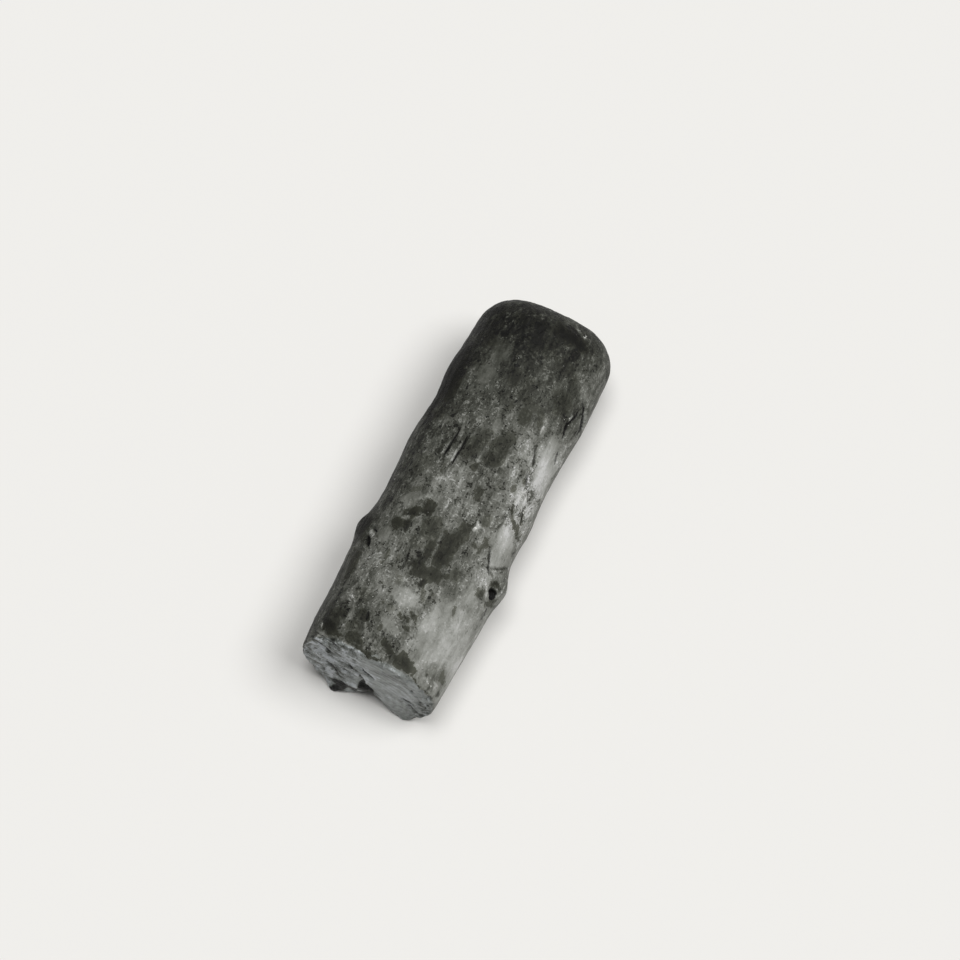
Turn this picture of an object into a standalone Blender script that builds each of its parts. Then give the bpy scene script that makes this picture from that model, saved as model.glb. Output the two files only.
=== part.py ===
"""Charcoal lump: one short log of dense white charcoal, grown as a branch and fired in one piece.

The log lies along +Y on the worn flat of its underside, with its snapped end at -Y and its rounded end at +Y.
Units are metres and +Z is up. The origin is under the middle of the box that holds the log.
A section is written in polar form about the log's straight axis. Its angle runs from the right flank (0 degrees)
over the crown (90), down the left flank (180) to the underside (270), and it is measured in the log's own
section, which is rolled a little against the ground.
"""

import math

import bmesh
import bpy
import numpy as np

MM = 0.001

# Driving dimensions, in metres
LENGTH = 139 * MM  # snapped end to rounded end, along the axis
AXIS_HEIGHT = 21.3 * MM  # axis above the ground, which sets how wide the worn flat is
ROLL = math.radians(9)  # how far the section's broad axis dips to the right as the log lies

# Shape of the section
SQUARENESS = 2.3  # exponent of the superellipse: 2 is an ellipse, more is boxier

# Stations along the axis, in mm: distance from the snapped end, then how far the log reaches
# from its axis to the left, to the right, up and down.
STATIONS = (
    (0, 25.0, 21.8, 20.6, 22.8),
    (9, 25.7, 22.4, 20.8, 22.8),
    (22, 25.6, 23.2, 20.6, 22.2),
    (36, 25.9, 24.1, 20.4, 21.6),
    (45, 25.9, 24.2, 20.4, 21.5),
    (55, 24.9, 23.1, 20.2, 21.6),
    (68, 25.1, 23.6, 20.0, 21.8),
    (79, 25.5, 23.2, 19.8, 21.9),
    (94, 24.2, 23.7, 20.0, 21.8),
    (106, 24.8, 24.6, 20.4, 21.8),
    (116, 23.9, 24.6, 20.4, 21.6),
    (126, 23.3, 24.4, 20.0, 21.2),
    (139, 23.0, 24.0, 19.6, 20.6),
)

# Swells and hollows, where side branches grew and beside the groove: distance along the axis, angle,
# height (a hollow is negative), reach along the axis and reach around the section in radians
KNOTS = (
    (44.5 * MM, math.radians(182), 1.5 * MM, 4.5 * MM, 0.26),
    (44.5 * MM, math.radians(12), 1.8 * MM, 5.0 * MM, 0.26),
    (42.5 * MM, math.radians(30), -1.6 * MM, 1.8 * MM, 0.08),
    (105 * MM, math.radians(22), 0.6 * MM, 6.0 * MM, 0.20),
    (0 * MM, math.radians(246), 2.4 * MM, 20.0 * MM, 0.20),
    (0 * MM, math.radians(306), 1.6 * MM, 20.0 * MM, 0.20),
)

# Groove in the underside that runs in from the snapped end and dies out. It is steeper on its left.
GROOVE_ANGLE = math.radians(272)
GROOVE_DEPTH = 10 * MM
GROOVE_REACH_LEFT = 0.12  # radians
GROOVE_REACH_RIGHT = 0.22  # radians
GROOVE_RUN = 17 * MM

# Both ends lean back, each towards a direction around the section, and the lean dies out along the log
NEAR_LEAN = math.tan(math.radians(3.6))
NEAR_LEAN_ANGLE = math.radians(90)
FAR_LEAN = math.tan(math.radians(4.7))
FAR_LEAN_ANGLE = math.radians(120)
LEAN_RUN = 20 * MM

# Where the snapped end's edge is broken back, or stands forward (negative): angle, depth and reach in radians
BREAKS = (
    (math.radians(277), 2.6 * MM, 0.26),
    (math.radians(247), -1.3 * MM, 0.13),
    (math.radians(306), -0.7 * MM, 0.20),
)
BREAK_RUN = 8 * MM

# Snapped end: a narrow worn edge around a shallow shell-shaped break
EDGE_WEAR = 0.9 * MM
BREAK_RELIEF = 0.5 * MM
BREAK_RIPPLE = 8 * MM  # width of one ripple of the break

# Rounded end: how far the shoulder reaches along the axis and in towards it, and the crown of the middle
SHOULDER_LENGTH = 13 * MM
SHOULDER_INSET = 13.5 * MM
CROWN = 0.6 * MM

# Mesh fineness
AROUND = 56
STATIONS_BETWEEN = 46
WEAR_STEPS = 2
SHOULDER_STEPS = 7
CAP_RINGS = 6

COLOUR = (0.115, 0.118, 0.106, 1)
ROUGHNESS = 0.55


def clear_scene():
    for obj in list(bpy.data.objects):
        bpy.data.objects.remove(obj, do_unlink=True)


def reach_at(along, column):
    """One column of STATIONS at any distance along the axis, in metres, on a smooth curve."""
    places = np.array([station[0] for station in STATIONS]) * MM
    values = np.array([station[column] for station in STATIONS]) * MM
    slopes = np.gradient(values, places)
    index = int(np.clip(np.searchsorted(places, along) - 1, 0, len(places) - 2))
    span = places[index + 1] - places[index]
    share = (along - places[index]) / span
    start = (1 + 2 * share) * (1 - share) ** 2 * values[index] + share * (1 - share) ** 2 * span * slopes[index]
    end = share**2 * (3 - 2 * share) * values[index + 1] - share**2 * (1 - share) * span * slopes[index + 1]
    return start + end


def angle_between(first, second):
    """The signed turn from one angle to another, within half a turn."""
    return (first - second + math.pi) % (2 * math.pi) - math.pi


def knot_height(along, angle):
    height = 0
    for place, direction, swell, reach_along, reach_around in KNOTS:
        lengthwise = (along - place) / reach_along
        sideways = angle_between(angle, direction) / reach_around
        height += swell * math.exp(-(lengthwise**2) - sideways**2)
    return height


def groove_depth(along, angle):
    turn = angle_between(angle, GROOVE_ANGLE)
    reach = GROOVE_REACH_RIGHT if turn > 0 else GROOVE_REACH_LEFT
    return GROOVE_DEPTH * math.exp(-((turn / reach) ** 2) - (along / GROOVE_RUN) ** 2)


def radius(along, angle):
    """Distance from the axis to the surface, before the ends are rounded and before the ground is met."""
    left, right, top, bottom = (reach_at(along, column) for column in range(1, 5))
    across = math.cos(angle)
    upward = math.sin(angle)
    width = right if across > 0 else left
    height = top if upward > 0 else bottom
    outline = abs(across / width) ** SQUARENESS + abs(upward / height) ** SQUARENESS
    return outline ** (-1 / SQUARENESS) + knot_height(along, angle) - groove_depth(along, angle)


def grounded(distance, angle):
    """The distance, cut back where the ground is nearer."""
    downward = -math.sin(angle - ROLL)
    if downward <= 0:
        return distance
    return min(distance, AXIS_HEIGHT / downward)


def end_shift(along, angle, distance):
    """How far a point is carried along the axis by the lean of the ends and by the broken edge."""
    near = NEAR_LEAN * math.cos(angle - NEAR_LEAN_ANGLE) * math.exp(-along / LEAN_RUN)
    far = FAR_LEAN * math.cos(angle - FAR_LEAN_ANGLE) * math.exp((along - LENGTH) / LEAN_RUN)
    broken = 0
    for direction, depth, reach in BREAKS:
        broken += depth * math.exp(-((angle_between(angle, direction) / reach) ** 2))
    edge_share = (distance / AXIS_HEIGHT) ** 2
    return (near - far) * distance + broken * edge_share * math.exp(-along / BREAK_RUN)


def point(along, angle, distance):
    """A point of the log, at a distance from its axis."""
    across = distance * math.cos(angle - ROLL)
    upward = AXIS_HEIGHT + distance * math.sin(angle - ROLL)
    return (across, along + end_shift(along, angle, distance), upward)


def break_relief(distance, share):
    """How far the snapped end is hollowed, at a distance from the axis. Its edge, at share 1, stays level."""
    return BREAK_RELIEF * (1 - share**2) * math.cos(2 * math.pi * distance / BREAK_RIPPLE)


def crown_relief(distance, share):
    """How far the rounded end is crowned, at a share of the way from its middle to the shoulder."""
    return CROWN * (1 - share**2)


def ring(along, inset, share=1.0, relief=None):
    """One ring of points: the section there, drawn in by inset. Within an end it is scaled by share and
    raised by relief."""
    points = []
    for step in range(AROUND):
        angle = 2 * math.pi * step / AROUND
        distance = grounded(radius(along, angle) - inset, angle) * share
        raised = relief(distance, share) if relief else 0
        points.append(point(along + raised, angle, distance))
    return points


def all_rings():
    """Rings from the middle of the snapped end to the middle of the rounded end."""
    rings = []
    for step in range(1, CAP_RINGS + 1):
        rings.append(ring(0, EDGE_WEAR, step / CAP_RINGS, break_relief))
    for step in range(1, WEAR_STEPS + 1):
        turn = math.pi / 2 * step / WEAR_STEPS
        rings.append(ring(EDGE_WEAR * (1 - math.cos(turn)), EDGE_WEAR * (1 - math.sin(turn))))
    shoulder_end = LENGTH - CROWN
    shoulder_start = shoulder_end - SHOULDER_LENGTH
    for step in range(1, STATIONS_BETWEEN):
        share = step / STATIONS_BETWEEN
        rings.append(ring(EDGE_WEAR + (shoulder_start - EDGE_WEAR) * share, 0))
    for step in range(SHOULDER_STEPS + 1):
        turn = math.pi / 2 * step / SHOULDER_STEPS
        along = shoulder_start + SHOULDER_LENGTH * math.sin(turn)
        rings.append(ring(along, SHOULDER_INSET * (1 - math.cos(turn))))
    for step in range(CAP_RINGS - 1, 0, -1):
        rings.append(ring(shoulder_end, SHOULDER_INSET, step / CAP_RINGS, crown_relief))
    return rings


def skin(mesh_builder, rings, near_middle, far_middle):
    """Faces between the rings, and a fan at each end."""
    loops = [[mesh_builder.verts.new(place) for place in places] for places in rings]
    near = mesh_builder.verts.new(near_middle)
    far = mesh_builder.verts.new(far_middle)
    for step in range(AROUND):
        following = (step + 1) % AROUND
        mesh_builder.faces.new((near, loops[0][step], loops[0][following]))
        mesh_builder.faces.new((far, loops[-1][following], loops[-1][step]))
        for before, after in zip(loops, loops[1:]):
            mesh_builder.faces.new((before[step], after[step], after[following], before[following]))


def centre_on_origin(mesh):
    """Moves the mesh so that the middle of its box is over the origin. It stands on the ground already."""
    places = np.array([vertex.co[:] for vertex in mesh.vertices])
    middle = (places.min(axis=0) + places.max(axis=0)) / 2
    for vertex in mesh.vertices:
        vertex.co.x -= middle[0]
        vertex.co.y -= middle[1]


def charcoal_material():
    material = bpy.data.materials.new("charcoal")
    material.use_nodes = True
    shader = material.node_tree.nodes["Principled BSDF"]
    shader.inputs["Base Color"].default_value = COLOUR
    shader.inputs["Roughness"].default_value = ROUGHNESS
    shader.inputs["Metallic"].default_value = 0
    return material


def charcoal_lump():
    mesh_builder = bmesh.new()
    rings = all_rings()
    near_middle = point(break_relief(0, 0), 0, 0)
    far_middle = point(LENGTH, 0, 0)
    skin(mesh_builder, rings, near_middle, far_middle)
    bmesh.ops.recalc_face_normals(mesh_builder, faces=mesh_builder.faces)
    mesh = bpy.data.meshes.new("charcoal_lump")
    mesh_builder.to_mesh(mesh)
    mesh_builder.free()
    centre_on_origin(mesh)
    mesh.shade_smooth()
    mesh.set_sharp_from_angle(angle=math.radians(45))
    mesh.materials.append(charcoal_material())
    lump = bpy.data.objects.new("charcoal_lump", mesh)
    bpy.context.scene.collection.objects.link(lump)


clear_scene()
charcoal_lump()
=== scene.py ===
"""The looks of the charcoal lump: one fine mesh with real relief, in place of the plain CAD solid.

The log lies along +Y. Lengths are in millimetres until the mesh is written, in metres. A section is polar
about the log's straight axis: 0 degrees is the right flank, 90 the crown, 180 the left flank and 270 the
underside, as in the CAD model.

Marks that the camera sees are placed on a drawing sheet: the log as it looks from the camera, turned upright.
"Across" is to the right of the log's axis and "up" is from its snapped end towards its rounded end, both in
millimetres. The snapped face is seen at the foot of the sheet. Marks on the other sides are placed by their
distance along the log and their angle.
"""

import math

import bpy
import numpy as np
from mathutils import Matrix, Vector


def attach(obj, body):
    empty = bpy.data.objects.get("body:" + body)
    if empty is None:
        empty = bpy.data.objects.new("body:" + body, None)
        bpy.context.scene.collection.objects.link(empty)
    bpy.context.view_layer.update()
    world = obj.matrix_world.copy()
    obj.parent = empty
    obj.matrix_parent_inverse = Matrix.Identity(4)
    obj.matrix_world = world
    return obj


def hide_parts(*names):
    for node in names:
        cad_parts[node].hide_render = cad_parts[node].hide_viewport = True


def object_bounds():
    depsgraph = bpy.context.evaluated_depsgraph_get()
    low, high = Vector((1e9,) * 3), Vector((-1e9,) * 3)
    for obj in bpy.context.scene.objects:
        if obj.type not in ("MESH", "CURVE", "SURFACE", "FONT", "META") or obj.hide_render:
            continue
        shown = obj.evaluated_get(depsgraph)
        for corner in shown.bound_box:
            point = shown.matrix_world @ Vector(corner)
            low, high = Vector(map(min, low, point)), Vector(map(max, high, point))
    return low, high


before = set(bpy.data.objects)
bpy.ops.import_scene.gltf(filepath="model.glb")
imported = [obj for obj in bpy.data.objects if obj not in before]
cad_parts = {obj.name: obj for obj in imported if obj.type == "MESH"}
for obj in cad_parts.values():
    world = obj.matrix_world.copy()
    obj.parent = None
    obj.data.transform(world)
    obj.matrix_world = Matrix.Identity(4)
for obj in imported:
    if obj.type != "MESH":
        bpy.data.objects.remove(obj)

CAD_BOX = [list(corner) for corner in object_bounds()]
MM = 0.001

# ---- the log's shape, as in the CAD model

LENGTH = 139
AXIS_HEIGHT = 21.3
ROLL = math.radians(9)
SQUARENESS = 2.3

# Distance from the snapped end, then reach to the left, to the right, up and down
STATIONS = (
    (0, 25.0, 21.8, 20.6, 22.8),
    (9, 25.7, 22.4, 20.8, 22.8),
    (22, 25.6, 23.2, 20.6, 22.2),
    (36, 25.9, 24.1, 20.4, 21.6),
    (45, 25.9, 24.2, 20.4, 21.5),
    (55, 24.9, 23.1, 20.2, 21.6),
    (68, 25.1, 23.6, 20.0, 21.8),
    (79, 25.5, 23.2, 19.8, 21.9),
    (94, 24.2, 23.7, 20.0, 21.8),
    (106, 24.8, 24.6, 20.4, 21.8),
    (116, 23.9, 24.6, 20.4, 21.6),
    (126, 23.3, 24.4, 20.0, 21.2),
    (139, 23.0, 24.0, 19.6, 20.6),
)

# Distance along, angle, height, reach along, reach around in radians
KNOTS = (
    (44.5, math.radians(182), 1.5, 4.5, 0.26),
    (44.5, math.radians(12), 1.8, 5.0, 0.26),
    (42.5, math.radians(30), -1.6, 1.8, 0.08),
    (105, math.radians(22), 0.6, 6.0, 0.20),
    (0, math.radians(246), 2.4, 20.0, 0.20),
    (0, math.radians(306), 1.6, 20.0, 0.20),
)

GROOVE_ANGLE = math.radians(272)
GROOVE_DEPTH = 10
GROOVE_REACH_LEFT = 0.12
GROOVE_REACH_RIGHT = 0.22
GROOVE_RUN = 17

NEAR_LEAN = math.tan(math.radians(3.6))
NEAR_LEAN_ANGLE = math.radians(90)
FAR_LEAN = math.tan(math.radians(4.7))
FAR_LEAN_ANGLE = math.radians(120)
LEAN_RUN = 20

BREAKS = (
    (math.radians(277), 2.6, 0.26),
    (math.radians(247), -1.3, 0.13),
    (math.radians(306), -0.7, 0.20),
)
BREAK_RUN = 8

EDGE_WEAR = 0.9
SHOULDER_LENGTH = 13
SHOULDER_INSET = 13.5
CROWN = 0.6

# ---- mesh fineness

AROUND = 288
CROWDING = 0.3  # share by which columns crowd together on the crown
NEAR_SPACING = 0.36
NEAR_STRETCH = 16
SIDE_SPACING = 0.56
SHOULDER_ROWS = 34
NEAR_CAP_RINGS = 44
FAR_CAP_RINGS = 12
WEAR_ROWS = 4

# ---- the view

CAMERA_AZIMUTH = math.radians(25.6)
CAMERA_ELEVATION = math.radians(70)
CAMERA_DISTANCE = 0.866
CAMERA_LENS = 100
AIM_RIGHT = 0.0055
AIM_UP = 0.0062
SHEET_TURN = math.radians(27)  # the log's lean to the right, as the camera sees it

# ---- marks on the sheet

# Soft changes of tone: across, up, half width, half length, lean to the right in degrees, change
# Painted light: the lifts down the right flank are painted highlight and sheen, partly paler skin;
# painted shade: the darkenings down the left flank.
SHADES = (
    (12, 24, 9, 12, 0, 0.10),
    # painted highlight and sheen down the right flank, partly paler skin
    (18, 80, 3.5, 17, 0, 0.29),
    (18, 57, 4.5, 6, 0, 0.08),
    (22, 16, 3, 9, 0, 0.08),
    (-17, 12, 7, 5, 0, -0.10),
    (0, 46, 8, 9, 0, -0.08),
    (-6, 67, 9, 8, 0, 0.16),
    (-5, 88, 4, 7, 0, -0.11),
    (3, 86, 3.5, 8, 8, -0.10),
    (-1, 97, 5, 3.5, 0, 0.12),
    # painted shade down the left flank, this and the next
    (-24, 100, 4, 16, 0, -0.14),
    (-25, 20, 3.5, 60, 0, -0.10),
    (13, 93, 4, 5, 0, 0.10),
    (20.5, 118, 3.5, 8, 0, 0.10),
    (18.5, 104, 3, 7, 0, -0.15),
    (13, 129, 6, 4, 0, -0.14),
    (-12, 114, 3.5, 7, 0, 0.06),
    (-14, 103, 4, 5, 0, 0.08),
    (2, 128, 12, 6, 0, -0.06),
    (-20, 52, 3, 6, 0, 0.10),
    (-2, 30, 8, 6, 0, 0.10),
    (10, 60, 6, 6, 0, 0.06),
    (16, 43, 4, 7, 0, 0.10),
    (10.5, 90, 3.5, 6, 0, 0.14),
    (0, 22, 3, 3, 0, -0.18),
    (-12, 17, 4, 3.5, 0, -0.14),
    (10, 16, 3, 3, 0, 0.04),
    (19, 87, 2.5, 6, 0, 0.10),
    (19.5, 67, 2, 4, 0, 0.12),
    (-20, 34, 2.5, 9, 0, 0.10),
    (-14, 35, 6, 6, 0, 0.10),
    (-15, 41, 6, 4, 0, 0.14),
    (15, 46, 2.5, 3, 0, 0.14),
    (-15, 51, 3, 3, 0, -0.12),
    (9, 64, 3, 4, 0, -0.14),
    (0, 64, 3, 3, 0, 0.10),
    (-5, 70, 4, 3, 0, 0.10),
    (4, 70, 3, 3, 0, -0.08),
    (17, 64, 3, 3, 0, 0.12),
    (16, 52, 3, 3, 0, 0.12),
    (4, 10.5, 5, 2.5, 0, -0.12),
    (19, 11, 2.5, 3, 0, -0.14),
    (13, 106, 4, 5, 0, -0.08),
    # painted shade down the left flank
    (-20, 91, 3, 6, 0, -0.14),
)

# Patches of dark crust and of painted shade, as outlines: how dark from 0 to 1, then the corners (across, up)
CRUSTS_AND_SHADE = (
    (0.6, ((-23.2, 15.3), (-19.9, 17.2), (-16.8, 16.6), (-16.2, 14.7), (-18.6, 12.5), (-17.4, 9.8),
           (-22.6, 11.5))),
    (1.0, ((-23.4, 11), (-20.4, 13), (-18.8, 12.2), (-17.6, 10.2), (-16.6, 8.4), (-19, 7.4), (-21.8, 7.8))),
    (0.5, ((-15.8, 13.2), (-14.2, 16.2), (-12.4, 15.4), (-11.2, 12.9), (-13.4, 12.5), (-15.4, 11.4))),
    (0.9, ((-14.4, 11.4), (-12.2, 12.2), (-10.6, 11.6), (-8.0, 9.8), (-7.9, 8.2), (-11.1, 9.1), (-13.4, 8.0),
           (-15.4, 8.8))),
    (0.9, ((-16.4, 8.9), (-11, 8.7), (-6.4, 7.7), (-2.4, 7.2), (0.6, 8.4), (0.2, 6.8), (-3.4, 6.1),
           (-7.6, 6.7))),
    (1.0, ((-6.2, 8.2), (-4.8, 9.0), (-3.1, 8.5), (-2.6, 7.4), (-5.3, 7.2))),
    (1.0, ((-3.2, 13.1), (-2.8, 15), (-1.2, 14.7), (1, 12.2), (2.2, 11.2), (1.9, 9.1), (1, 9.6), (-0.9, 11.2),
           (-2.8, 11.6))),
    (0.9, ((2.2, 11.2), (3.8, 12.3), (4.8, 13.6), (6.4, 13.2), (8.6, 11.8), (11.2, 9.2), (9.2, 7.6), (4.4, 8),
           (2.6, 9.4))),
    (0.9, ((9.1, 9.4), (11, 8.1), (12.9, 6.8), (14.6, 5.3), (13.5, 5.4), (11.3, 6.8), (9.2, 8.0))),
    (0.7, ((-15.2, 18.8), (-13.4, 20.4), (-11, 20.2), (-10.4, 18.2), (-11.5, 16.6), (-14, 17))),
    (0.9, ((-20.5, 17.6), (-19.2, 17.9), (-18.8, 17), (-20, 16.6))),
    (0.3, ((-18.4, 24.8), (-15.6, 26.4), (-13, 24.6), (-13.6, 22), (-17, 21.6))),
    (0.8, ((-8.8, 25.2), (-7.9, 25.4), (-7.6, 24), (-8.5, 23.7))),
    (0.35, ((-7.6, 25.4), (-5.6, 26.2), (-4.4, 24.4), (-5.4, 22.6), (-7.2, 23.4))),
    (0.9, ((-2.9, 24.4), (-1, 23.9), (1.6, 23.9), (1.4, 23.0), (-0.8, 22.9), (-2.5, 23.5))),
    (0.9, ((1.2, 26), (2, 26.5), (3.2, 25), (2.3, 24.6))),
    (0.6, ((2.4, 27.8), (3.4, 28.2), (4.4, 26.8), (3.3, 26.4))),
    (0.9, ((3.2, 24.2), (4, 24.1), (4.9, 22.7), (4.1, 22.5))),
    (0.8, ((1.4, 21), (2.6, 21.2), (3.6, 20), (2.4, 19.5))),
    (0.7, ((-6.4, 18), (-5.3, 17.6), (-5.2, 16.6), (-6.2, 16.6))),
    (0.6, ((18.8, 14), (20, 13), (21.4, 9.8), (20.4, 9.6), (18.9, 11.6))),
    (0.8, ((-24.4, 36), (-22.6, 36.4), (-22, 31), (-22.2, 26.2), (-23.6, 26), (-24.2, 31))),
    (0.8, ((-12.2, 30.7), (-11.2, 30.8), (-11, 29.9), (-12, 29.8))),
    (0.35, ((-8.6, 34.6), (-6.8, 35), (-5.9, 33), (-7.6, 32))),
    (0.6, ((-15.3, 40.6), (-14.2, 41), (-13.9, 37.6), (-14.6, 36))),
    (0.5, ((-11.6, 41.6), (-10.4, 41.2), (-10.2, 38.4), (-11.2, 38.2))),
    (0.6, ((0.6, 34.4), (1.6, 34.2), (3, 31.2), (2.2, 31))),
    (0.6, ((4.0, 35.2), (5.2, 35), (5.1, 31.8), (4.2, 32))),
    (0.6, ((12.9, 34), (13.5, 33.8), (13.9, 31.2), (13.3, 31.3))),
    (0.8, ((-6.2, 41.2), (-3.2, 42.2), (-1.3, 41.2), (1, 42.4), (4.6, 42.3), (6.6, 43), (7.4, 41.2),
           (5.4, 40.6), (4.8, 38.4), (2.4, 37.6), (0.4, 37.3), (-3.4, 37.6), (-5.2, 36.8), (-5, 39))),
    (1.0, ((-0.4, 37.4), (0.9, 37.2), (0.3, 34.8), (-1, 34.2), (-0.8, 36))),
    (0.9, ((-4.4, 49.6), (-2.6, 50.6), (-1.7, 49.5), (-1.5, 45), (-2.8, 43.2), (-4.2, 45))),
    (0.8, ((-1.0, 55), (0.4, 54.8), (2.3, 56.7), (2.9, 60.4), (6.6, 60.4), (6.6, 55.4), (5.6, 51), (5.2, 46),
           (5, 44.8), (2.6, 43), (0.2, 42.6), (-0.9, 45), (-0.7, 50))),
    (0.55, ((-8.4, 54.5), (-5.6, 58), (-3.4, 57.3), (-2.4, 54.8), (-2.6, 50.4), (-4.4, 47.5), (-5.4, 49.2),
            (-8.4, 50.4))),
    (0.3, ((-9.4, 49), (-5.6, 48.6), (-5, 45.6), (-8.2, 44.6), (-10, 46.6))),
    (0.5, ((6.8, 44.4), (8.6, 46), (10.4, 44), (10, 41.6), (7.6, 41.4))),
    (1.0, ((-10.9, 61.0), (-7.4, 61.6), (-7.2, 57.6), (-8.3, 55.8), (-9.4, 56.6), (-10.8, 55.6),
           (-10.7, 58.4))),
    (1.0, ((-15.8, 54.4), (-14.2, 56.6), (-12.4, 57.8), (-10.7, 57.2), (-11.2, 54.5), (-13.6, 53.8),
           (-14.4, 55.0))),
    (0.8, ((-16.2, 54.6), (-14.8, 55), (-14.7, 53.6), (-16, 52.4))),
    (1.0, ((-17.8, 51.2), (-15.4, 51.8), (-14.6, 50.4), (-15.3, 47.0), (-16.6, 46.4), (-16.8, 48.2),
           (-18, 49.4))),
    (0.9, ((-14.8, 51.6), (-13, 51.9), (-12.6, 50.4), (-14.4, 49.4))),
    (0.8, ((12, 58.5), (13.4, 58.8), (13.7, 57), (12.7, 54), (11.8, 50.6), (10.8, 51), (11.7, 54.6))),
    (0.7, ((8.8, 55.8), (10.9, 54.9), (10.8, 54.1), (9, 54.5))),
    (0.5, ((8.4, 65.4), (10, 65.2), (10.4, 62.4), (9, 61.8))),
    (0.8, ((8.9, 69), (9.8, 68.6), (9.9, 65), (9, 64.8))),
    (0.5, ((-12.9, 65.4), (-11.8, 65), (-18.8, 59.4), (-19.6, 59.8))),
    (0.3, ((-20.6, 73), (-16, 74.6), (-14.2, 72), (-18, 67.4), (-20.6, 68.4))),
    (0.85, ((1.4, 72.4), (2.4, 73), (4.4, 71.6), (4.4, 68.4), (3.2, 66.8), (1.8, 69.6))),
    (0.9, ((14.4, 71.6), (15.4, 72.2), (16.3, 70.4), (16.2, 68.4), (15.2, 68.6), (14.8, 70.4))),
    (0.95, ((17.1, 67.9), (18.5, 67.9), (19.6, 66.6), (21, 64.8), (21.4, 62.6), (20.2, 63.2), (19, 65.6),
            (17.4, 66.8))),
    (0.8, ((18.6, 72.4), (19.2, 72), (19.9, 69.8), (20.5, 67.4), (19.8, 67.8), (19.0, 70))),
    (0.8, ((-3.2, 78), (-1.2, 79.2), (-0.4, 77.4), (-1.6, 76), (-2.8, 76.6))),
    (0.7, ((12, 78.4), (13.6, 77.8), (13.2, 76.2), (11.8, 76.6))),
    (0.7, ((7.6, 75.7), (10.4, 75.1), (10.2, 74.3), (7.8, 74.9))),
    (0.7, ((14.1, 81.4), (15.2, 80.8), (15.5, 79), (14.7, 78.8))),
    (0.7, ((-11.8, 73.8), (-10.4, 74), (-10.6, 71.4), (-11.5, 71))),
    (0.6, ((-9, 84.6), (-7.6, 84.4), (-7.4, 83), (-8.4, 82.9))),
    (0.5, ((-8.4, 79), (-7.6, 84), (-4.6, 90), (-2.4, 90.6), (-1.6, 88), (-2.4, 84), (-3.6, 79.6),
           (-5.4, 78))),
    (0.6, ((-1.4, 81), (-0.8, 87), (1, 91.6), (4, 94), (6.4, 92), (5.6, 86), (5, 82), (3, 80), (0.4, 79.8))),
    # painted shade down the left flank, drawn as crust, this and the next
    (0.95, ((-25.5, 104), (-20, 103), (-18.4, 97), (-19.2, 93.4), (-22.4, 92), (-23.2, 86), (-25.5, 84))),
    (0.5, ((-22.4, 90.4), (-19.4, 90), (-19, 87), (-21, 86), (-22.4, 87.6))),
    (0.7, ((2.4, 99.6), (2.9, 102), (6.6, 102.4), (7.4, 98.6), (5.6, 96), (4, 96.4))),
    (0.6, ((9.4, 101.4), (10.6, 100.6), (12, 96.8), (11.2, 96.4), (10, 98.8))),
    (0.6, ((-0.6, 101.8), (0.8, 101.2), (-1.6, 97.4), (-2.6, 97.8))),
    # painted shade down the left flank, drawn as crust
    (0.7, ((-24.6, 106), (-22.4, 112), (-20.6, 110.6), (-19.8, 104), (-24.6, 102))),
    (0.5, ((-5.6, 112.6), (-3, 112.6), (-1.6, 110.4), (-2, 107), (-4, 106.2), (-6, 108.6))),
    (0.35, ((-0.4, 111.4), (2, 112), (4, 110), (3.4, 106), (1, 103.4), (-0.4, 107))),
    (0.5, ((3, 106.6), (6.4, 104.8), (9.6, 104), (10.8, 101.6), (8.4, 102.2), (3, 102.4), (1.8, 104))),
    (0.5, ((10, 111.4), (13.4, 113), (17, 112), (18.2, 108.6), (17, 105.4), (13.4, 105), (11, 107.6))),
    (0.35, ((12.6, 118.4), (14.2, 118.8), (17, 114.8), (18, 112), (14.4, 112.4))),
    (0.5, ((-16.8, 117.4), (-15.2, 118.4), (-14.1, 116.6), (-15.4, 115), (-16.9, 115.8))),
    (0.4, ((-6.6, 128.6), (-3, 130), (0.6, 129.6), (0.8, 126), (0.6, 120), (-1, 118.4), (-3.8, 119.2),
           (-5.4, 122))),
    (0.4, ((1.4, 125.6), (4, 125.8), (5, 122), (4, 119.8), (1.6, 120))),
    (0.35, ((5.4, 121), (9, 121.6), (12.6, 121), (13, 118.8), (9.4, 118), (6, 118.6))),
    (0.45, ((-12.4, 128.8), (-9.4, 129.6), (-7.6, 128.4), (-8, 126), (-10.4, 125.2), (-12, 126.2))),
    (0.3, ((-21, 124), (-19, 128), (-16.4, 129.6), (-16.6, 125), (-18, 121), (-20.6, 120))),
    (0.8, ((1, 132.8), (4, 131.8), (8, 130.9), (12.6, 129.6), (13.8, 127.6), (12, 126.2), (9.4, 127.2),
           (5, 126.8), (1.8, 127.4), (0.8, 129.6))),
    (0.9, ((-27.6, 46.6), (-25, 48.4), (-23.6, 46.8), (-24, 43), (-24.2, 39.6), (-27, 41))),
    (0.7, ((17.3, 42.9), (19.4, 43), (20.2, 41), (18.2, 40.4))),
    (0.7, ((21, 40.6), (23.6, 41), (24.4, 39.6), (21.6, 38.7))),
    (0.8, ((19.8, 46.9), (21.4, 47.3), (22.4, 46.4), (20.6, 45.8))),
)
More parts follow.
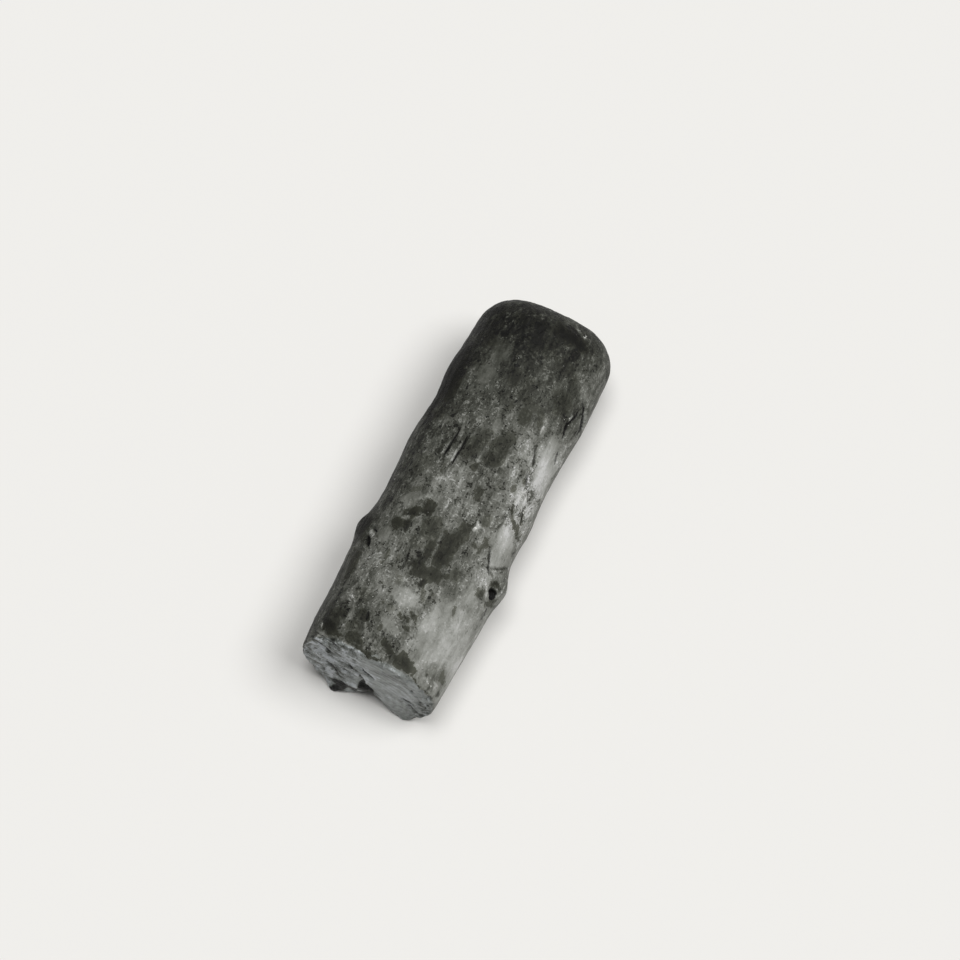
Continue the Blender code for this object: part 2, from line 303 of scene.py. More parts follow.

# Smooth pale stretches and painted highlights, as outlines: how much lighter, then the corners (across, up)
PALES_AND_HIGHLIGHTS = (
    (0.08, ((-20.6, 46.6), (-17.6, 47.8), (-16.2, 46.6), (-16.6, 44), (-17.6, 42), (-19.8, 42.4),
            (-20.8, 44))),
    (0.08, ((14.2, 63.6), (17, 65.4), (19.4, 62.2), (21.6, 60.4), (22.6, 53.6), (17.8, 51.2), (15.8, 55.6),
            (14.2, 59))),
    (0.06, ((19.2, 27), (22.6, 27.4), (23.4, 17), (22.2, 10.2), (20.8, 13.2), (18.8, 16.4))),
    (0.05, ((7.6, 33), (12, 35), (18, 34), (20, 26), (18.6, 16), (12, 13.6), (6.8, 17), (5.8, 25))),
    (0.06, ((-7.6, 31.6), (-3.6, 32.8), (1.6, 31.6), (1.2, 27.8), (-3, 26.4), (-7.4, 28))),
    (0.08, ((-7.4, 20.6), (-2.4, 21.2), (0.4, 18.6), (-0.8, 16.8), (-5, 17.8))),
    (0.10, ((-2.6, 94.6), (-0.8, 94.6), (0.2, 91.6), (-1.4, 90.2), (-3, 91.6))),
    (0.05, ((-14.6, 115), (-13.6, 118), (-10.2, 119.4), (-9, 116.6), (-9.2, 112.6), (-11, 110.6),
            (-13.8, 112))),
    (0.04, ((-15, 108.6), (-11.6, 110), (-9.4, 107.4), (-10.6, 103.4), (-13.4, 102), (-15.4, 104.6))),
    (0.05, ((14.4, 43.6), (12.6, 40), (14.4, 36.4), (18.4, 36), (19, 39), (17, 41))),
    (0.06, ((-16, 62.6), (-12.6, 62), (-13.6, 58), (-16.6, 55.8), (-19, 57.6))),
    # The next five: painted highlights down the right flank and painted glints on the crown, partly paler
    # skin
    (0.18, ((14.6, 79.6), (15.6, 78.2), (17.2, 78.4), (16.3, 76.4), (16.2, 74.6), (17, 72.8), (15.2, 72.2),
            (15.2, 74.8), (14.4, 76.6))),
    (0.05, ((16.2, 98), (20, 96.4), (22.4, 88), (22.6, 79), (18.4, 80), (16.6, 84), (15.8, 91))),
    (0.40, ((4.8, 78.9), (5.6, 79.1), (5.9, 78.3), (5.1, 77.9))),
    (0.20, ((16.6, 77.6), (17.8, 76.8), (18.4, 73.6), (17.4, 74.4))),
    (0.36, ((6.9, 62.4), (7.9, 61.9), (8.7, 61.1), (8.2, 59.2), (6.9, 59.2), (7.1, 60.6))),
    (0.10, ((0.8, 7.0), (4.6, 7.1), (9, 6.2), (12.4, 4.8), (9.4, 5.1), (5, 5.9), (1.6, 6.0))),
    (0.24, ((-23.4, 6.8), (-19.8, 6.6), (-16, 5.4), (-18.6, 5.0), (-22.6, 5.2))),
    (0.26, ((-24.8, 2.8), (-22.6, 2.4), (-21.4, 0.6), (-23.4, 0.5))),
    (0.22, ((-20.8, 1.6), (-17, 1.0), (-14.8, -0.6), (-17.4, -0.5), (-20.2, 0.3))),
    (0.26, ((-15.4, -2.2), (-12.6, -2.9), (-12, -4.4), (-14.6, -3.8))),
    # painted highlights on the slivers of the lip of the snapped face, this and the next
    (0.24, ((-7.6, 0.8), (-3.6, 0.2), (-0.2, -1.1), (-2.8, -0.9), (-5.6, -0.4))),
    (0.32, ((-6, 2.7), (-2.6, 2.4), (0.8, 1.5), (-2.2, 1.5), (-4.8, 1.8))),
    (0.08, ((-14, 3.9), (-9.6, 4.4), (-8.4, 2.4), (-12, 1.6), (-15, 2.4))),
)

# Clusters of white flecks and of painted glints, many on the right flank and the far rim: across, up, reach,
# how thick
GLINTS_AND_FLECKS = (
    (15.8, 75.5, 1.9, 0.85),
    (17.8, 76, 1.6, 0.7),
    (18.6, 72, 1.4, 0.7),
    (19.0, 44.8, 1.3, 0.8),
    (18.9, 105.6, 1.1, 0.9),
    (20, 92, 4, 0.3),
    (19.4, 83, 3, 0.35),
    (-5, 64, 6, 0.3),
    (-15, 36, 5, 0.3),
    (-12, 24, 5, 0.25),
    (7.7, 60.4, 1.3, 1.0),
    (5.5, 78.5, 0.5, 1.0),
    (-18.5, 21.4, 1.5, 0.8),
    (-23, 9.2, 0.8, 0.8),
    (17, 46.4, 1.2, 0.8),
    (9, 48, 1.0, 0.7),
    (3.2, 36.8, 0.6, 0.8),
    (-3.3, 36.4, 0.6, 0.8),
    (8.0, 132.6, 0.9, 1.0),
    (11, 131.8, 0.9, 0.9),
    (13.2, 129.6, 0.5, 0.9),
    (8.2, 124.3, 0.6, 0.7),
    (7, 122, 0.8, 0.5),
    (14, 119, 0.6, 0.8),
    (16.6, 77.8, 1.3, 0.9),
    (15.6, 73.6, 0.9, 0.9),
    (12.2, 98.3, 0.6, 0.7),
    (-23.7, 62.4, 0.6, 0.8),
    (19.2, 106.4, 0.7, 0.8),
    (-22.2, 43, 0.9, 0.9),
    (19.5, 9, 2.0, 0.5),
    (17, 7.4, 2.4, 0.4),
    (8, 50, 8, 0.18),
)

# Cracks, painted black inside as shade: points (across, up), width, depth, darkness
CRACKS = (
    (((-12.1, 86.6), (-12.6, 82), (-12.9, 76)), 0.75, 1.4, 1),
    (((-8.7, 86.2), (-9.0, 80), (-9.3, 74.6)), 0.70, 1.4, 1),
    (((12.6, 50.1), (17, 50.5), (20, 51.3), (22.8, 53.2)), 0.45, 0.4, 0.5),
    (((15.0, 56.4), (16.5, 52.6), (17.2, 50.4), (18.9, 47.8)), 0.5, 0.4, 0.6),
    (((20.4, 109.6), (20.6, 107.2), (19.8, 104.9), (19.2, 103.2), (19.4, 101.4), (20.2, 98)), 0.9, 0.9, 1),
    (((20.2, 112.6), (21.6, 110.8), (22.8, 107.6), (23.6, 104.4), (23.7, 101.4)), 0.9, 0.9, 1),
    (((12.9, 92.2), (14.2, 89.2), (15.1, 86)), 0.5, 0.4, 0.6),
    (((14.6, 83.6), (15.6, 81), (16.2, 79)), 0.5, 0.4, 0.6),
    (((20.4, 94.6), (20.8, 92.4), (21.4, 90)), 0.5, 0.4, 0.6),
    (((18.6, 72.8), (19.5, 70), (20.4, 67.2)), 0.5, 0.4, 0.7),
    (((-3.4, 14.6), (-1.6, 15.9), (0.8, 16), (2.4, 15.3), (3.7, 13.5)), 0.4, 0.3, 0.4),
    (((-11.7, 20.4), (-11.2, 18.8), (-10.8, 17)), 0.7, 0.8, 1),
    (((-23, 45), (-22.2, 44.8), (-21.2, 44.5)), 0.8, 0.9, 1),
    (((-23.1, 42), (-22.3, 40.6), (-21.4, 38.8)), 1.0, 0.9, 1),
    (((-8.7, 41.6), (-8.0, 38.4), (-7.2, 35.2)), 0.4, 0.3, 0.45),
    (((-14.6, 41), (-14.8, 37), (-14.4, 33)), 0.4, 0.2, 0.3),
    (((-25.2, 75), (-25.0, 70), (-24.8, 64)), 0.5, 0.5, 0.7),
    (((22.8, 38.6), (23.2, 36), (22.8, 33.4)), 0.45, 0.4, 0.5),
    (((-22.7, 3.3), (-19, 3.1), (-16.2, 2.4)), 0.35, 0.5, 0.9),
    (((-17.8, -0.3), (-14, -1.2), (-11.5, -2.4), (-9.6, -3.4)), 0.35, 0.6, 0.8),
    (((-5.6, 2.4), (-3.6, 1.7), (0.4, 1.0)), 0.40, 0.7, 0.9),
    (((-9.2, 1.3), (-6.5, 0.6), (-4.4, 0.0), (-2, -1.0)), 0.35, 0.6, 0.8),
    (((10.8, -0.3), (13, -0.5), (15, -0.8)), 0.35, 0.6, 0.8),
    (((13.3, -1.3), (16, -1.9), (18.4, -2.5)), 0.35, 0.6, 0.9),
    (((12.5, 3.2), (13.3, 2.7)), 0.6, 0.6, 0.9),
    (((16.9, 5.4), (17.7, 4.9)), 0.6, 0.6, 0.9),
    (((-23.5, 6.0), (-19, 5.4), (-14.5, 4.6)), 0.5, 0.5, 0.6),
)

# Cracks on the sides that the camera does not see: points (around from the underside's middle to the right,
# along), width, depth, darkness
# their darkness is painted shade inside the crack
HIDDEN_CRACKS = (
    (((1.5, 16), (2.2, 30), (1.0, 44), (2.4, 58), (1.8, 71)), 1.0, 1.2, 1),
    (((-7, 88), (-6.2, 99), (-7.6, 112), (-7, 121)), 0.7, 0.9, 1),
    (((-27, 56), (-28.4, 66), (-27.6, 78), (-28.6, 90)), 0.6, 0.8, 1),
    (((-24.5, 14), (-25.6, 22), (-25.2, 29)), 0.6, 0.7, 0.9),
    (((-31, 101), (-30.2, 108), (-30.8, 114)), 0.6, 0.7, 0.9),
    (((21, 64), (22.4, 75), (21.8, 87), (23, 97)), 0.7, 0.9, 1),
    (((26, 18), (25.2, 26), (26.2, 33)), 0.6, 0.6, 0.8),
    (((14, 104), (14.8, 113), (14.2, 120)), 0.6, 0.7, 0.9),
    (((-17, 38), (-13.5, 39.4), (-10.2, 38.6)), 0.5, 0.5, 0.8),
    (((-20.2, 70), (-17.6, 71.2), (-14.4, 70.8)), 0.5, 0.5, 0.8),
    (((17.5, 48), (20.4, 49.2), (24, 48.6)), 0.5, 0.5, 0.8),
)

# Cracks that run out from the pith on the rounded end: points (across, upward) in the section, width, depth,
# darkness
# their darkness is painted shade inside the crack
END_CRACKS = (
    (((1, -1), (-4, 1.5), (-9.6, 2.8), (-15, 6.5)), 0.8, 1.2, 1),
    (((1, -1), (4.2, -6), (6.4, -12.4)), 0.7, 1.0, 1),
    (((1, -1), (3.8, 4.4), (8.6, 8.8), (12, 14)), 0.7, 1.0, 1),
    (((1, -1), (-2.4, -7), (-7, -12)), 0.5, 0.7, 0.9),
    (((8, -3.4), (12.6, -4.8), (17, -4.2)), 0.5, 0.6, 0.9),
)
PITH = (1, -1)
RING_WIDTH = 1.7  # one growth ring on the rounded end

# Narrow strokes of tone: points (across, up), width, change
# Some strokes are painted highlights and painted shade, as marked
STROKES = (
    # painted highlights on the left lips of the two slits, this and the next
    (((-12.9, 82.5), (-13.2, 80), (-13.6, 77)), 0.45, 0.30),
    (((-9.4, 83.5), (-9.7, 79), (-9.9, 75.5)), 0.45, 0.36),
    # painted highlights on the slivers of the lip of the snapped face, this and the next
    (((-7.5, 2.6), (-4.5, 2.3), (-1, 1.9), (1, 1.2)), 0.5, 0.22),
    (((-4.8, 0.6), (-2.6, 0.4), (-0.6, -0.3)), 1.0, 0.16),
    (((-24, 4.4), (-20, 4.0), (-17, 3.8)), 0.8, 0.18),
    (((-22, 1.6), (-18, 1.4), (-15, 0.2)), 0.9, 0.12),
    (((-20.5, 0.4), (-15, -1.8), (-12, -3.4)), 0.7, 0.14),
    (((-8, -3.6), (-5, -3.9), (-2.6, -3.9)), 0.6, 0.10),
    (((-23.2, 9.9), (-22.8, 8.8), (-22.4, 8.0)), 0.7, 0.45),
    (((14.4, 56.4), (16, 52.9), (17.1, 50.4), (19, 49), (20.4, 47.2)), 0.8, -0.26),
    (((12.7, 50.3), (16.9, 50.4), (19.8, 51.2), (22.6, 53)), 0.8, -0.24),
    (((13.0, 92.8), (14.2, 89.6), (15.1, 86.2)), 0.8, -0.24),
    (((15.2, 84.8), (14.6, 82.4), (15.6, 79.4)), 0.7, -0.22),
    (((14.9, 66), (13.4, 62.4)), 0.6, -0.16),
    (((-8.9, 46), (-8.4, 43), (-7.4, 38.2)), 0.6, -0.16),
    (((0.8, 38.2), (0, 36.2), (-0.5, 34)), 1.7, -0.24),
    (((-6.8, 44.6), (-5, 45.8), (-3.6, 45.2)), 0.8, 0.14),
    (((-7, 43.2), (-5, 42.4)), 0.7, 0.14),
    (((-9.6, 63.6), (-12, 61.6), (-14.8, 59)), 0.8, 0.12),
    (((-3.6, 16.2), (-1.6, 17.1), (0.8, 16.9), (2.6, 15.6), (3.9, 14.2)), 0.7, 0.10),
    (((4, 2.6), (8.5, 3.4), (13, 2.4)), 0.6, 0.10),
    (((-2, 3.4), (4, 4.4), (9, 4.4), (14, 2.8)), 1.2, -0.09),
    (((-12, 3.2), (-6, 4.6), (2, 5.4), (8, 5.4)), 1.4, 0.05),
    (((3, -0.4), (7, 0.9), (11, 0.9), (14.6, 0.2)), 1.4, 0.07),
    (((1.6, -1.6), (5, -0.9), (9, -0.9), (12.6, -1.6)), 0.8, -0.08),
    (((-16, 6.3), (-12.6, 6.9), (-10.6, 6.6)), 1.2, 0.16),
    (((-24.4, 2.2), (-23.2, 0.9), (-22, -0.6)), 1.0, -0.16),
    (((-19.4, -1.6), (-17, -1.9), (-15.2, -3.2)), 0.9, 0.12),
    (((4, -2.6), (8, -1.5), (12.4, -2.4)), 1.5, 0.06),
    (((7, -4.2), (10, -4.4), (13.6, -4.8)), 1.2, -0.08),
    (((-19.2, 14.4), (-18.2, 13.6), (-17.6, 12.6)), 0.7, 0.16),
    (((-13.6, 14.2), (-12.2, 13.6)), 0.9, 0.20),
    (((-16.6, 17.4), (-16.2, 15.4), (-16.8, 13.6)), 1.2, 0.22),
    (((-21.4, 15.6), (-20.4, 14.6)), 0.8, 0.14),
    (((-11, 16.2), (-9.6, 14.8), (-9.0, 12.8)), 0.9, 0.18),
    (((-7.4, 11.6), (-5.6, 12.4), (-4.2, 11.4)), 1.2, 0.12),
    (((-6.6, 9.8), (-3.4, 9.8)), 0.9, 0.14),
    (((-10.2, 10.4), (-8.8, 11.4)), 0.7, 0.16),
    (((-22.6, 4.6), (-19, 4.4), (-15.8, 3.4), (-12.4, 3.0)), 0.6, -0.24),
    (((-24.6, 4.8), (-23.4, 3.4)), 0.9, -0.22),
    # painted shade along a crack in the snapped face
    (((-14.6, -0.5), (-12, -1.6), (-9.8, -2.8), (-8, -2.2)), 1.6, -0.24),
    (((-18.4, -2.4), (-15.8, -3.6), (-14.4, -5)), 0.6, -0.18),
    (((-15.8, 5.8), (-14.2, 5.2), (-13, 5.6)), 1.1, -0.26),
    # painted shade in the slit under the lip's slivers
    (((-9, 1.5), (-4, 0.9), (-1.2, 0.9)), 0.5, -0.16),
    (((14.4, 6.2), (16.6, 5.4), (18.8, 4.2), (20.4, 2.6)), 1.0, -0.14),
    (((16.4, 1.6), (18.4, 0.4), (20.2, -0.6)), 1.4, -0.12),
    (((1.6, 1.2), (5.5, 2.2), (9.5, 2.5), (13.6, 1.4)), 0.7, -0.08),
    (((18.6, 76), (19.8, 72.5), (20.6, 69.6)), 0.7, 0.22),
    # painted highlight on the edge of the pit
    (((19.0, 107.2), (19.1, 105.4), (18.9, 104.2)), 0.7, 0.40),
    (((22.4, 110.4), (23.7, 107), (24.4, 103.6)), 0.9, 0.22),
    (((12.0, 100), (12.2, 98), (12.4, 96.6)), 0.7, 0.24),
    # painted highlight along the far rim
    (((6.4, 134), (8.2, 132.4), (10, 131.6), (12, 131.2)), 0.8, 0.24),
    (((-1.3, 54), (-1.5, 51), (-0.7, 49), (-1.2, 46.4), (-0.6, 43)), 0.7, 0.12),
    (((17.8, 44.6), (18.6, 42), (20.4, 40), (22.6, 39.4)), 1.0, -0.16),
    (((20.2, 46.6), (21.4, 46.9), (23.4, 46.2), (24.4, 44.4)), 1.1, -0.20),
    (((19.6, 45), (19.8, 43.2), (20.8, 41.4)), 0.8, 0.16),
    (((24.4, 42.4), (23.6, 41.2), (22.2, 40.9)), 0.7, -0.18),
    # painted glints, this and the next two
    (((-19.6, 22), (-18.6, 22.4), (-18.2, 21.4)), 0.6, 0.34),
    (((-19.4, 20.8), (-18.2, 20.6)), 0.5, 0.34),
    (((-17.4, 21.6), (-16.8, 20.9)), 0.7, 0.34),
    (((-22.6, 43.8), (-21.8, 43.2), (-21.9, 42.2)), 0.9, 0.32),
    (((-19.6, 18.6), (-18.2, 18.9)), 0.5, 0.24),
    (((-17.2, 12.8), (-16.4, 12.2), (-17.2, 11.4)), 0.5, 0.16),
    (((14, 8.6), (15.6, 9.4), (16.4, 7.8)), 0.8, 0.14),
    (((17.8, 9.6), (19.4, 8.4), (19.0, 6.6)), 0.8, 0.16),
    (((15.0, 10.8), (15.2, 9.6)), 0.6, -0.24),
    (((17.2, 7.2), (17.8, 6.0)), 0.7, -0.20),
    (((20.8, 7.4), (21.2, 5.6), (20.6, 4.4)), 0.9, -0.26),
    (((18.8, 4.2), (19.8, 3.6)), 0.8, 0.16),
    (((-16.6, 51), (-14, 53.2), (-10.4, 55)), 1.0, 0.20),
    (((14.6, 97), (14.4, 93)), 0.8, 0.12),
    (((23.2, 30), (23.6, 20), (22.8, 12)), 0.6, -0.08),
)

# Outlines filled with one tone, most of them painted shade: the tone, then the corners (across, up)
TONE_AND_SHADE_FILLS = (
    (0.74, ((-23.3, 44.2), (-22.4, 44.3), (-21.7, 43), (-22.2, 42.3), (-23.0, 42.9))),
    # painted shade in the crack of the left knot
    (0.16, ((-23.7, 42.1), (-22.6, 41.9), (-21.4, 40.6), (-21.5, 39), (-22.4, 39.2), (-23.4, 40.8))),
    # painted shade in the hole of the right knot
    (0.12, ((20.7, 45.2), (22.2, 45.4), (23.5, 44.3), (23.3, 43.1), (23.2, 41.8), (21.8, 41.5), (21.5, 43),
            (20.7, 43.8))),
    # painted shade in the hollow under the lip of the snapped face
    (0.10, ((-5, 0.1), (-3.4, -0.7), (-1.2, -1.4), (2.5, -2.9), (0, -3.5), (-3.2, -4.2), (-3.7, -2.8),
            (-2.9, -1.7))),
    # painted shade, partly dark crust, on the down-facing underside of the chipped foot
    (0.06, ((-13.6, -4.9), (-8.5, -4.3), (-3, -4.3), (-3, -5), (-6.2, -5.4), (-8, -8.4), (-12, -8),
            (-10.2, -6))),
)

# Holes, painted black inside as shade: across, up, half width, half length, lean, depth
HOLES = (
    (22.1, 44.0, 1.35, 1.2, 0, 2.6),
    (22.7, 42.4, 0.9, 1.1, 0, 2.0),
)

# The lip over the hollow in the snapped face, in the section: where it starts and where it ends
LIP_START = (-3.3, -2.0)
LIP_END = (2.4, -8.5)
HOLLOW_DEPTH = 1.6

# Ripples of the snapped face: the point that they spread from, in the section, and the width of one
RIPPLE_MIDDLE = (1, -9)
RIPPLE_WIDTH = 2.3

FACE_OVER_RIM = 1.6  # how far the colour of the break runs over the rim on the crown
UNDERSIDE = math.radians(270)
MEAN_RADIUS = 22  # turns an angle into millimetres around the section

# painted shade: cracks and holes are painted black from here inwards
GAP_EDGE = -0.16  # where the black of a crack begins, in millimetres inside it


# ---- noise

LATTICE_PRIMES = (73856093, 19349663, 83492791)
SEED_PRIME = 7919
MIXERS = (0xFF51AFD7ED558CCD, 0xC4CEB9FE1A85EC53)
MIX_SHIFT = np.uint64(33)
WORD_BITS = 16
NOISE_HEIGHT = 1.7  # brings the noise to about -1 to 1
OCTAVE_SHIFT = 17.3  # keeps the layers of one noise from lining up
OCTAVE_GAIN = 0.5
TINY = 1e-9


def hashed(cells, seed):
    """A repeatable whole number for each cell of a lattice."""
    value = np.full(cells.shape[:-1], seed * SEED_PRIME)
    for k, prime in enumerate(LATTICE_PRIMES):
        value ^= cells[..., k].astype(np.int64) * prime
    value = value.astype(np.uint64)
    for mixer in MIXERS:
        value ^= value >> MIX_SHIFT
        value *= np.uint64(mixer)
    return value ^ (value >> MIX_SHIFT)


def fraction(value, word):
    """A number from 0 to 1 from one 16-bit word of a hashed value."""
    most = 2**WORD_BITS - 1
    return ((value >> np.uint64(WORD_BITS * word)) & np.uint64(most)).astype(float) / most


def noise(points, seed):
    """Smooth gradient noise, from about -1 to 1, one lattice cell to a unit."""
    cells = np.floor(points)
    inside = points - cells
    fade = inside**3 * (inside * (inside * 6 - 15) + 10)
    total = np.zeros(points.shape[:-1])
    for corner in np.ndindex(2, 2, 2):
        offset = np.array(corner)
        value = hashed(cells + offset, seed)
        weight = np.prod(np.where(offset == 1, fade, 1 - fade), axis=-1)
        slope = sum((fraction(value, k) * 2 - 1) * (inside[..., k] - offset[k]) for k in range(3))
        total += weight * slope
    return total * NOISE_HEIGHT


def layered(points, octaves, seed):
    """Noise with finer and fainter layers added."""
    total = np.zeros(points.shape[:-1])
    for octave in range(octaves):
        layer = noise(points * 2**octave + OCTAVE_SHIFT * octave, seed + octave)
        total += OCTAVE_GAIN**octave * layer
    return total


def smooth(low, high, value):
    """0 at low, 1 at high, and a smooth change between. low may be the larger."""
    share = np.clip((value - low) / (high - low), 0, 1)
    return share * share * (3 - 2 * share)


def terraces(value, rise):
    """The value in level steps of 1, with a rise that takes the last share of each step."""
    level = np.floor(value)
    return level + smooth(1 - rise, 1, value - level)


# ---- the smooth log

def turn_between(first, second):
    return (first - second + math.pi) % (2 * math.pi) - math.pi


def reach_at(along, column):
    """One column of STATIONS at any distance along the axis, on a smooth curve."""
    places = np.array([station[0] for station in STATIONS], float)
    values = np.array([station[column] for station in STATIONS], float)
    slopes = np.gradient(values, places)
    index = np.clip(np.searchsorted(places, along) - 1, 0, len(places) - 2)
    span = places[index + 1] - places[index]
    share = (along - places[index]) / span
    rest = 1 - share
    start = (1 + 2 * share) * rest**2 * values[index] + share * rest**2 * span * slopes[index]
    end = share**2 * (3 - 2 * share) * values[index + 1] - share**2 * rest * span * slopes[index + 1]
    return start + end


def radius(along, angle):
    """Distance from the axis to the smooth surface, before the ends are rounded and the ground is met."""
    left, right, top, bottom = (reach_at(along, column) for column in range(1, 5))
    width = np.where(np.cos(angle) > 0, right, left)
    height = np.where(np.sin(angle) > 0, top, bottom)
    outline = np.abs(np.cos(angle) / width) ** SQUARENESS + np.abs(np.sin(angle) / height) ** SQUARENESS
    distance = outline ** (-1 / SQUARENESS)
    for place, direction, swell, reach_along, reach_around in KNOTS:
        sideways = turn_between(angle, direction) / reach_around
        distance += swell * np.exp(-(((along - place) / reach_along) ** 2) - sideways**2)
    turn = turn_between(angle, GROOVE_ANGLE)
    reach = np.where(turn > 0, GROOVE_REACH_RIGHT, GROOVE_REACH_LEFT)
    return distance - GROOVE_DEPTH * np.exp(-((turn / reach) ** 2) - (along / GROOVE_RUN) ** 2)


def grounded(distance, angle):
    """The distance, cut back where the ground is nearer."""
    downward = -np.sin(angle - ROLL)
    limit = AXIS_HEIGHT / np.maximum(downward, TINY)
    return np.where(downward > 0, np.minimum(distance, limit), distance)


def end_shift(along, angle, distance):
    """How far a point is carried along the axis by the lean of the ends and by the broken edge."""
    near = NEAR_LEAN * np.cos(angle - NEAR_LEAN_ANGLE) * np.exp(-along / LEAN_RUN)
    far = FAR_LEAN * np.cos(angle - FAR_LEAN_ANGLE) * np.exp((along - LENGTH) / LEAN_RUN)
    broken = 0
    for direction, depth, reach in BREAKS:
        broken = broken + depth * np.exp(-((turn_between(angle, direction) / reach) ** 2))
    return (near - far) * distance + broken * (distance / AXIS_HEIGHT) ** 2 * np.exp(-along / BREAK_RUN)


def placed(along, angle, distance):
    """Points in the row frame's directions, in millimetres, before they are centred."""
    across = distance * np.cos(angle - ROLL)
    upward = AXIS_HEIGHT + distance * np.sin(angle - ROLL)
    return np.stack([across, along + end_shift(along, angle, distance), upward], axis=-1)


# ---- the camera and the sheet

def camera_directions():
    """The unit vectors from the log to the camera, and to the right and up in its picture."""
    sine = math.sin(CAMERA_AZIMUTH)
    cosine = math.cos(CAMERA_AZIMUTH)
    level = math.cos(CAMERA_ELEVATION)
    back = Vector((sine * level, -cosine * level, math.sin(CAMERA_ELEVATION)))
    right = Vector((cosine, sine, 0))
    return back, right, back.cross(right)


def aim_point():
    """What the camera looks at, near the middle of the log, in metres."""
    _, right, up = camera_directions()
    middle = (Vector(CAD_BOX[0]) + Vector(CAD_BOX[1])) / 2
    return middle + right * AIM_RIGHT + up * AIM_UP


def seen(places):
    """Where places in millimetres are seen from the camera, in millimetres to the right and up."""
    back, right, up = (np.array(direction) for direction in camera_directions())
    offset = places - np.array(aim_point()) / MM
    distance = CAMERA_DISTANCE / MM
    scale = distance / (distance - offset @ back)
    return (offset @ right) * scale, (offset @ up) * scale


def on_sheet(places, axis_start):
    """Across and up on the drawing sheet, whose zero is where the axis leaves the snapped end."""
    right, up = seen(places)
    start_right, start_up = seen(axis_start)
    right = right - start_right
    up = up - start_up
    across = math.cos(SHEET_TURN) * right - math.sin(SHEET_TURN) * up
    return across, math.sin(SHEET_TURN) * right + math.cos(SHEET_TURN) * up


# ---- the grid

FACE, SIDE, ROUNDED = 0, 1, 2  # the snapped face, the side with its worn edge and shoulder, the rounded face
VIEW_EDGE = (-0.05, 0.15)  # how far a surface faces the camera where it comes into view


def column_angles():
    """The angles of the columns, closer together on the crown."""
    turn = np.linspace(0, 2 * math.pi, AROUND, endpoint=False)
    return turn + CROWDING * np.cos(turn)


def side_places(last):
    """Distances along the side, close together near the snapped end."""
    along = EDGE_WEAR + NEAR_SPACING
    while along < last:
        yield along
        along += NEAR_SPACING if along < NEAR_STRETCH else SIDE_SPACING


def grid_rows():
    """One entry a row, from the middle of the snapped end to the middle of the rounded end: distance along,
    how far the section is drawn in, the share of it that the row holds, and the part of the log."""
    rows = []
    for step in range(1, NEAR_CAP_RINGS + 1):
        rows.append((0, EDGE_WEAR, step / NEAR_CAP_RINGS, FACE))
    for step in range(1, WEAR_ROWS + 1):
        turn = math.pi / 2 * step / WEAR_ROWS
        rows.append((EDGE_WEAR * (1 - math.cos(turn)), EDGE_WEAR * (1 - math.sin(turn)), 1, SIDE))
    shoulder_end = LENGTH - CROWN
    shoulder_start = shoulder_end - SHOULDER_LENGTH
    for along in side_places(shoulder_start):
        rows.append((along, 0, 1, SIDE))
    for step in range(SHOULDER_ROWS + 1):
        turn = math.pi / 2 * step / SHOULDER_ROWS
        along = shoulder_start + SHOULDER_LENGTH * math.sin(turn)
        rows.append((along, SHOULDER_INSET * (1 - math.cos(turn)), 1, SIDE))
    for step in range(FAR_CAP_RINGS - 1, 0, -1):
        rows.append((shoulder_end, SHOULDER_INSET, step / FAR_CAP_RINGS, ROUNDED))
    return np.array(rows, float)


class Log:
    """The grid of the smooth log and what the relief and the marks need to know of each of its points."""

    def __init__(self):
        rows = grid_rows()
        self.along, self.angle = np.meshgrid(rows[:, 0], column_angles(), indexing="ij")
        inset, self.share, self.part = (np.repeat(rows[:, k : k + 1], AROUND, axis=1) for k in (1, 2, 3))
        self.along = self.along + (self.part == ROUNDED) * CROWN * (1 - self.share**2)
        self.distance = grounded(radius(self.along, self.angle) - inset, self.angle) * self.share
        self.across = self.distance * np.cos(self.angle)
        self.upward = self.distance * np.sin(self.angle)
        place = placed(self.along, self.angle, self.distance)
        middle = (place.min(axis=(0, 1)) + place.max(axis=(0, 1))) / 2
        shift = np.array([-middle[0], -middle[1], 0])
        self.place = place + shift
        self.normal = self.normals()
        axis_start = np.array([0, 0, AXIS_HEIGHT]) + shift
        self.sheet_across, self.sheet_up = on_sheet(self.place, axis_start)
        self.on_face = (self.part == FACE) * 1.0
        self.in_view = smooth(*VIEW_EDGE, self.normal @ np.array(camera_directions()[0]))
        self.visible = self.in_view > 0.5

    def normals(self):
        lengthwise = np.gradient(self.place, axis=0)
        around = np.roll(self.place, -1, axis=1) - np.roll(self.place, 1, axis=1)
        normal = np.cross(lengthwise, around)
        return normal / np.linalg.norm(normal, axis=-1, keepdims=True)

    def section(self, squeeze):
        """The place in the log's own section, squeezed across so that noise on it runs in level streaks."""
        return np.stack([self.across * squeeze, self.upward, np.zeros(self.across.shape)], axis=-1)

    def stretched(self, share):
        """The place shortened along the log, so that noise on it is drawn out that way."""
        return self.place * [1, share, 1]


# ---- depths inside ovals, outlines and lines

OUTLINE_REACH = 3.0  # marks are told apart from bare skin this far from their edge
CRACK_REACH = 2.0
CRACK_BANK = (-0.4, 0.1)  # a crack's cut deepens from this far outside its edge to this far inside


def patch_depth(across, up, centre_across, centre_up, half_width, half_length, lean):
    """How far inside an oval patch each point lies, in millimetres. It is negative outside."""
    turn = math.radians(lean)
    x = across - centre_across
    y = up - centre_up
    sideways = (x * math.cos(turn) - y * math.sin(turn)) / half_width
    lengthwise = (x * math.sin(turn) + y * math.cos(turn)) / half_length
    return (1 - np.hypot(sideways, lengthwise)) * min(half_width, half_length)


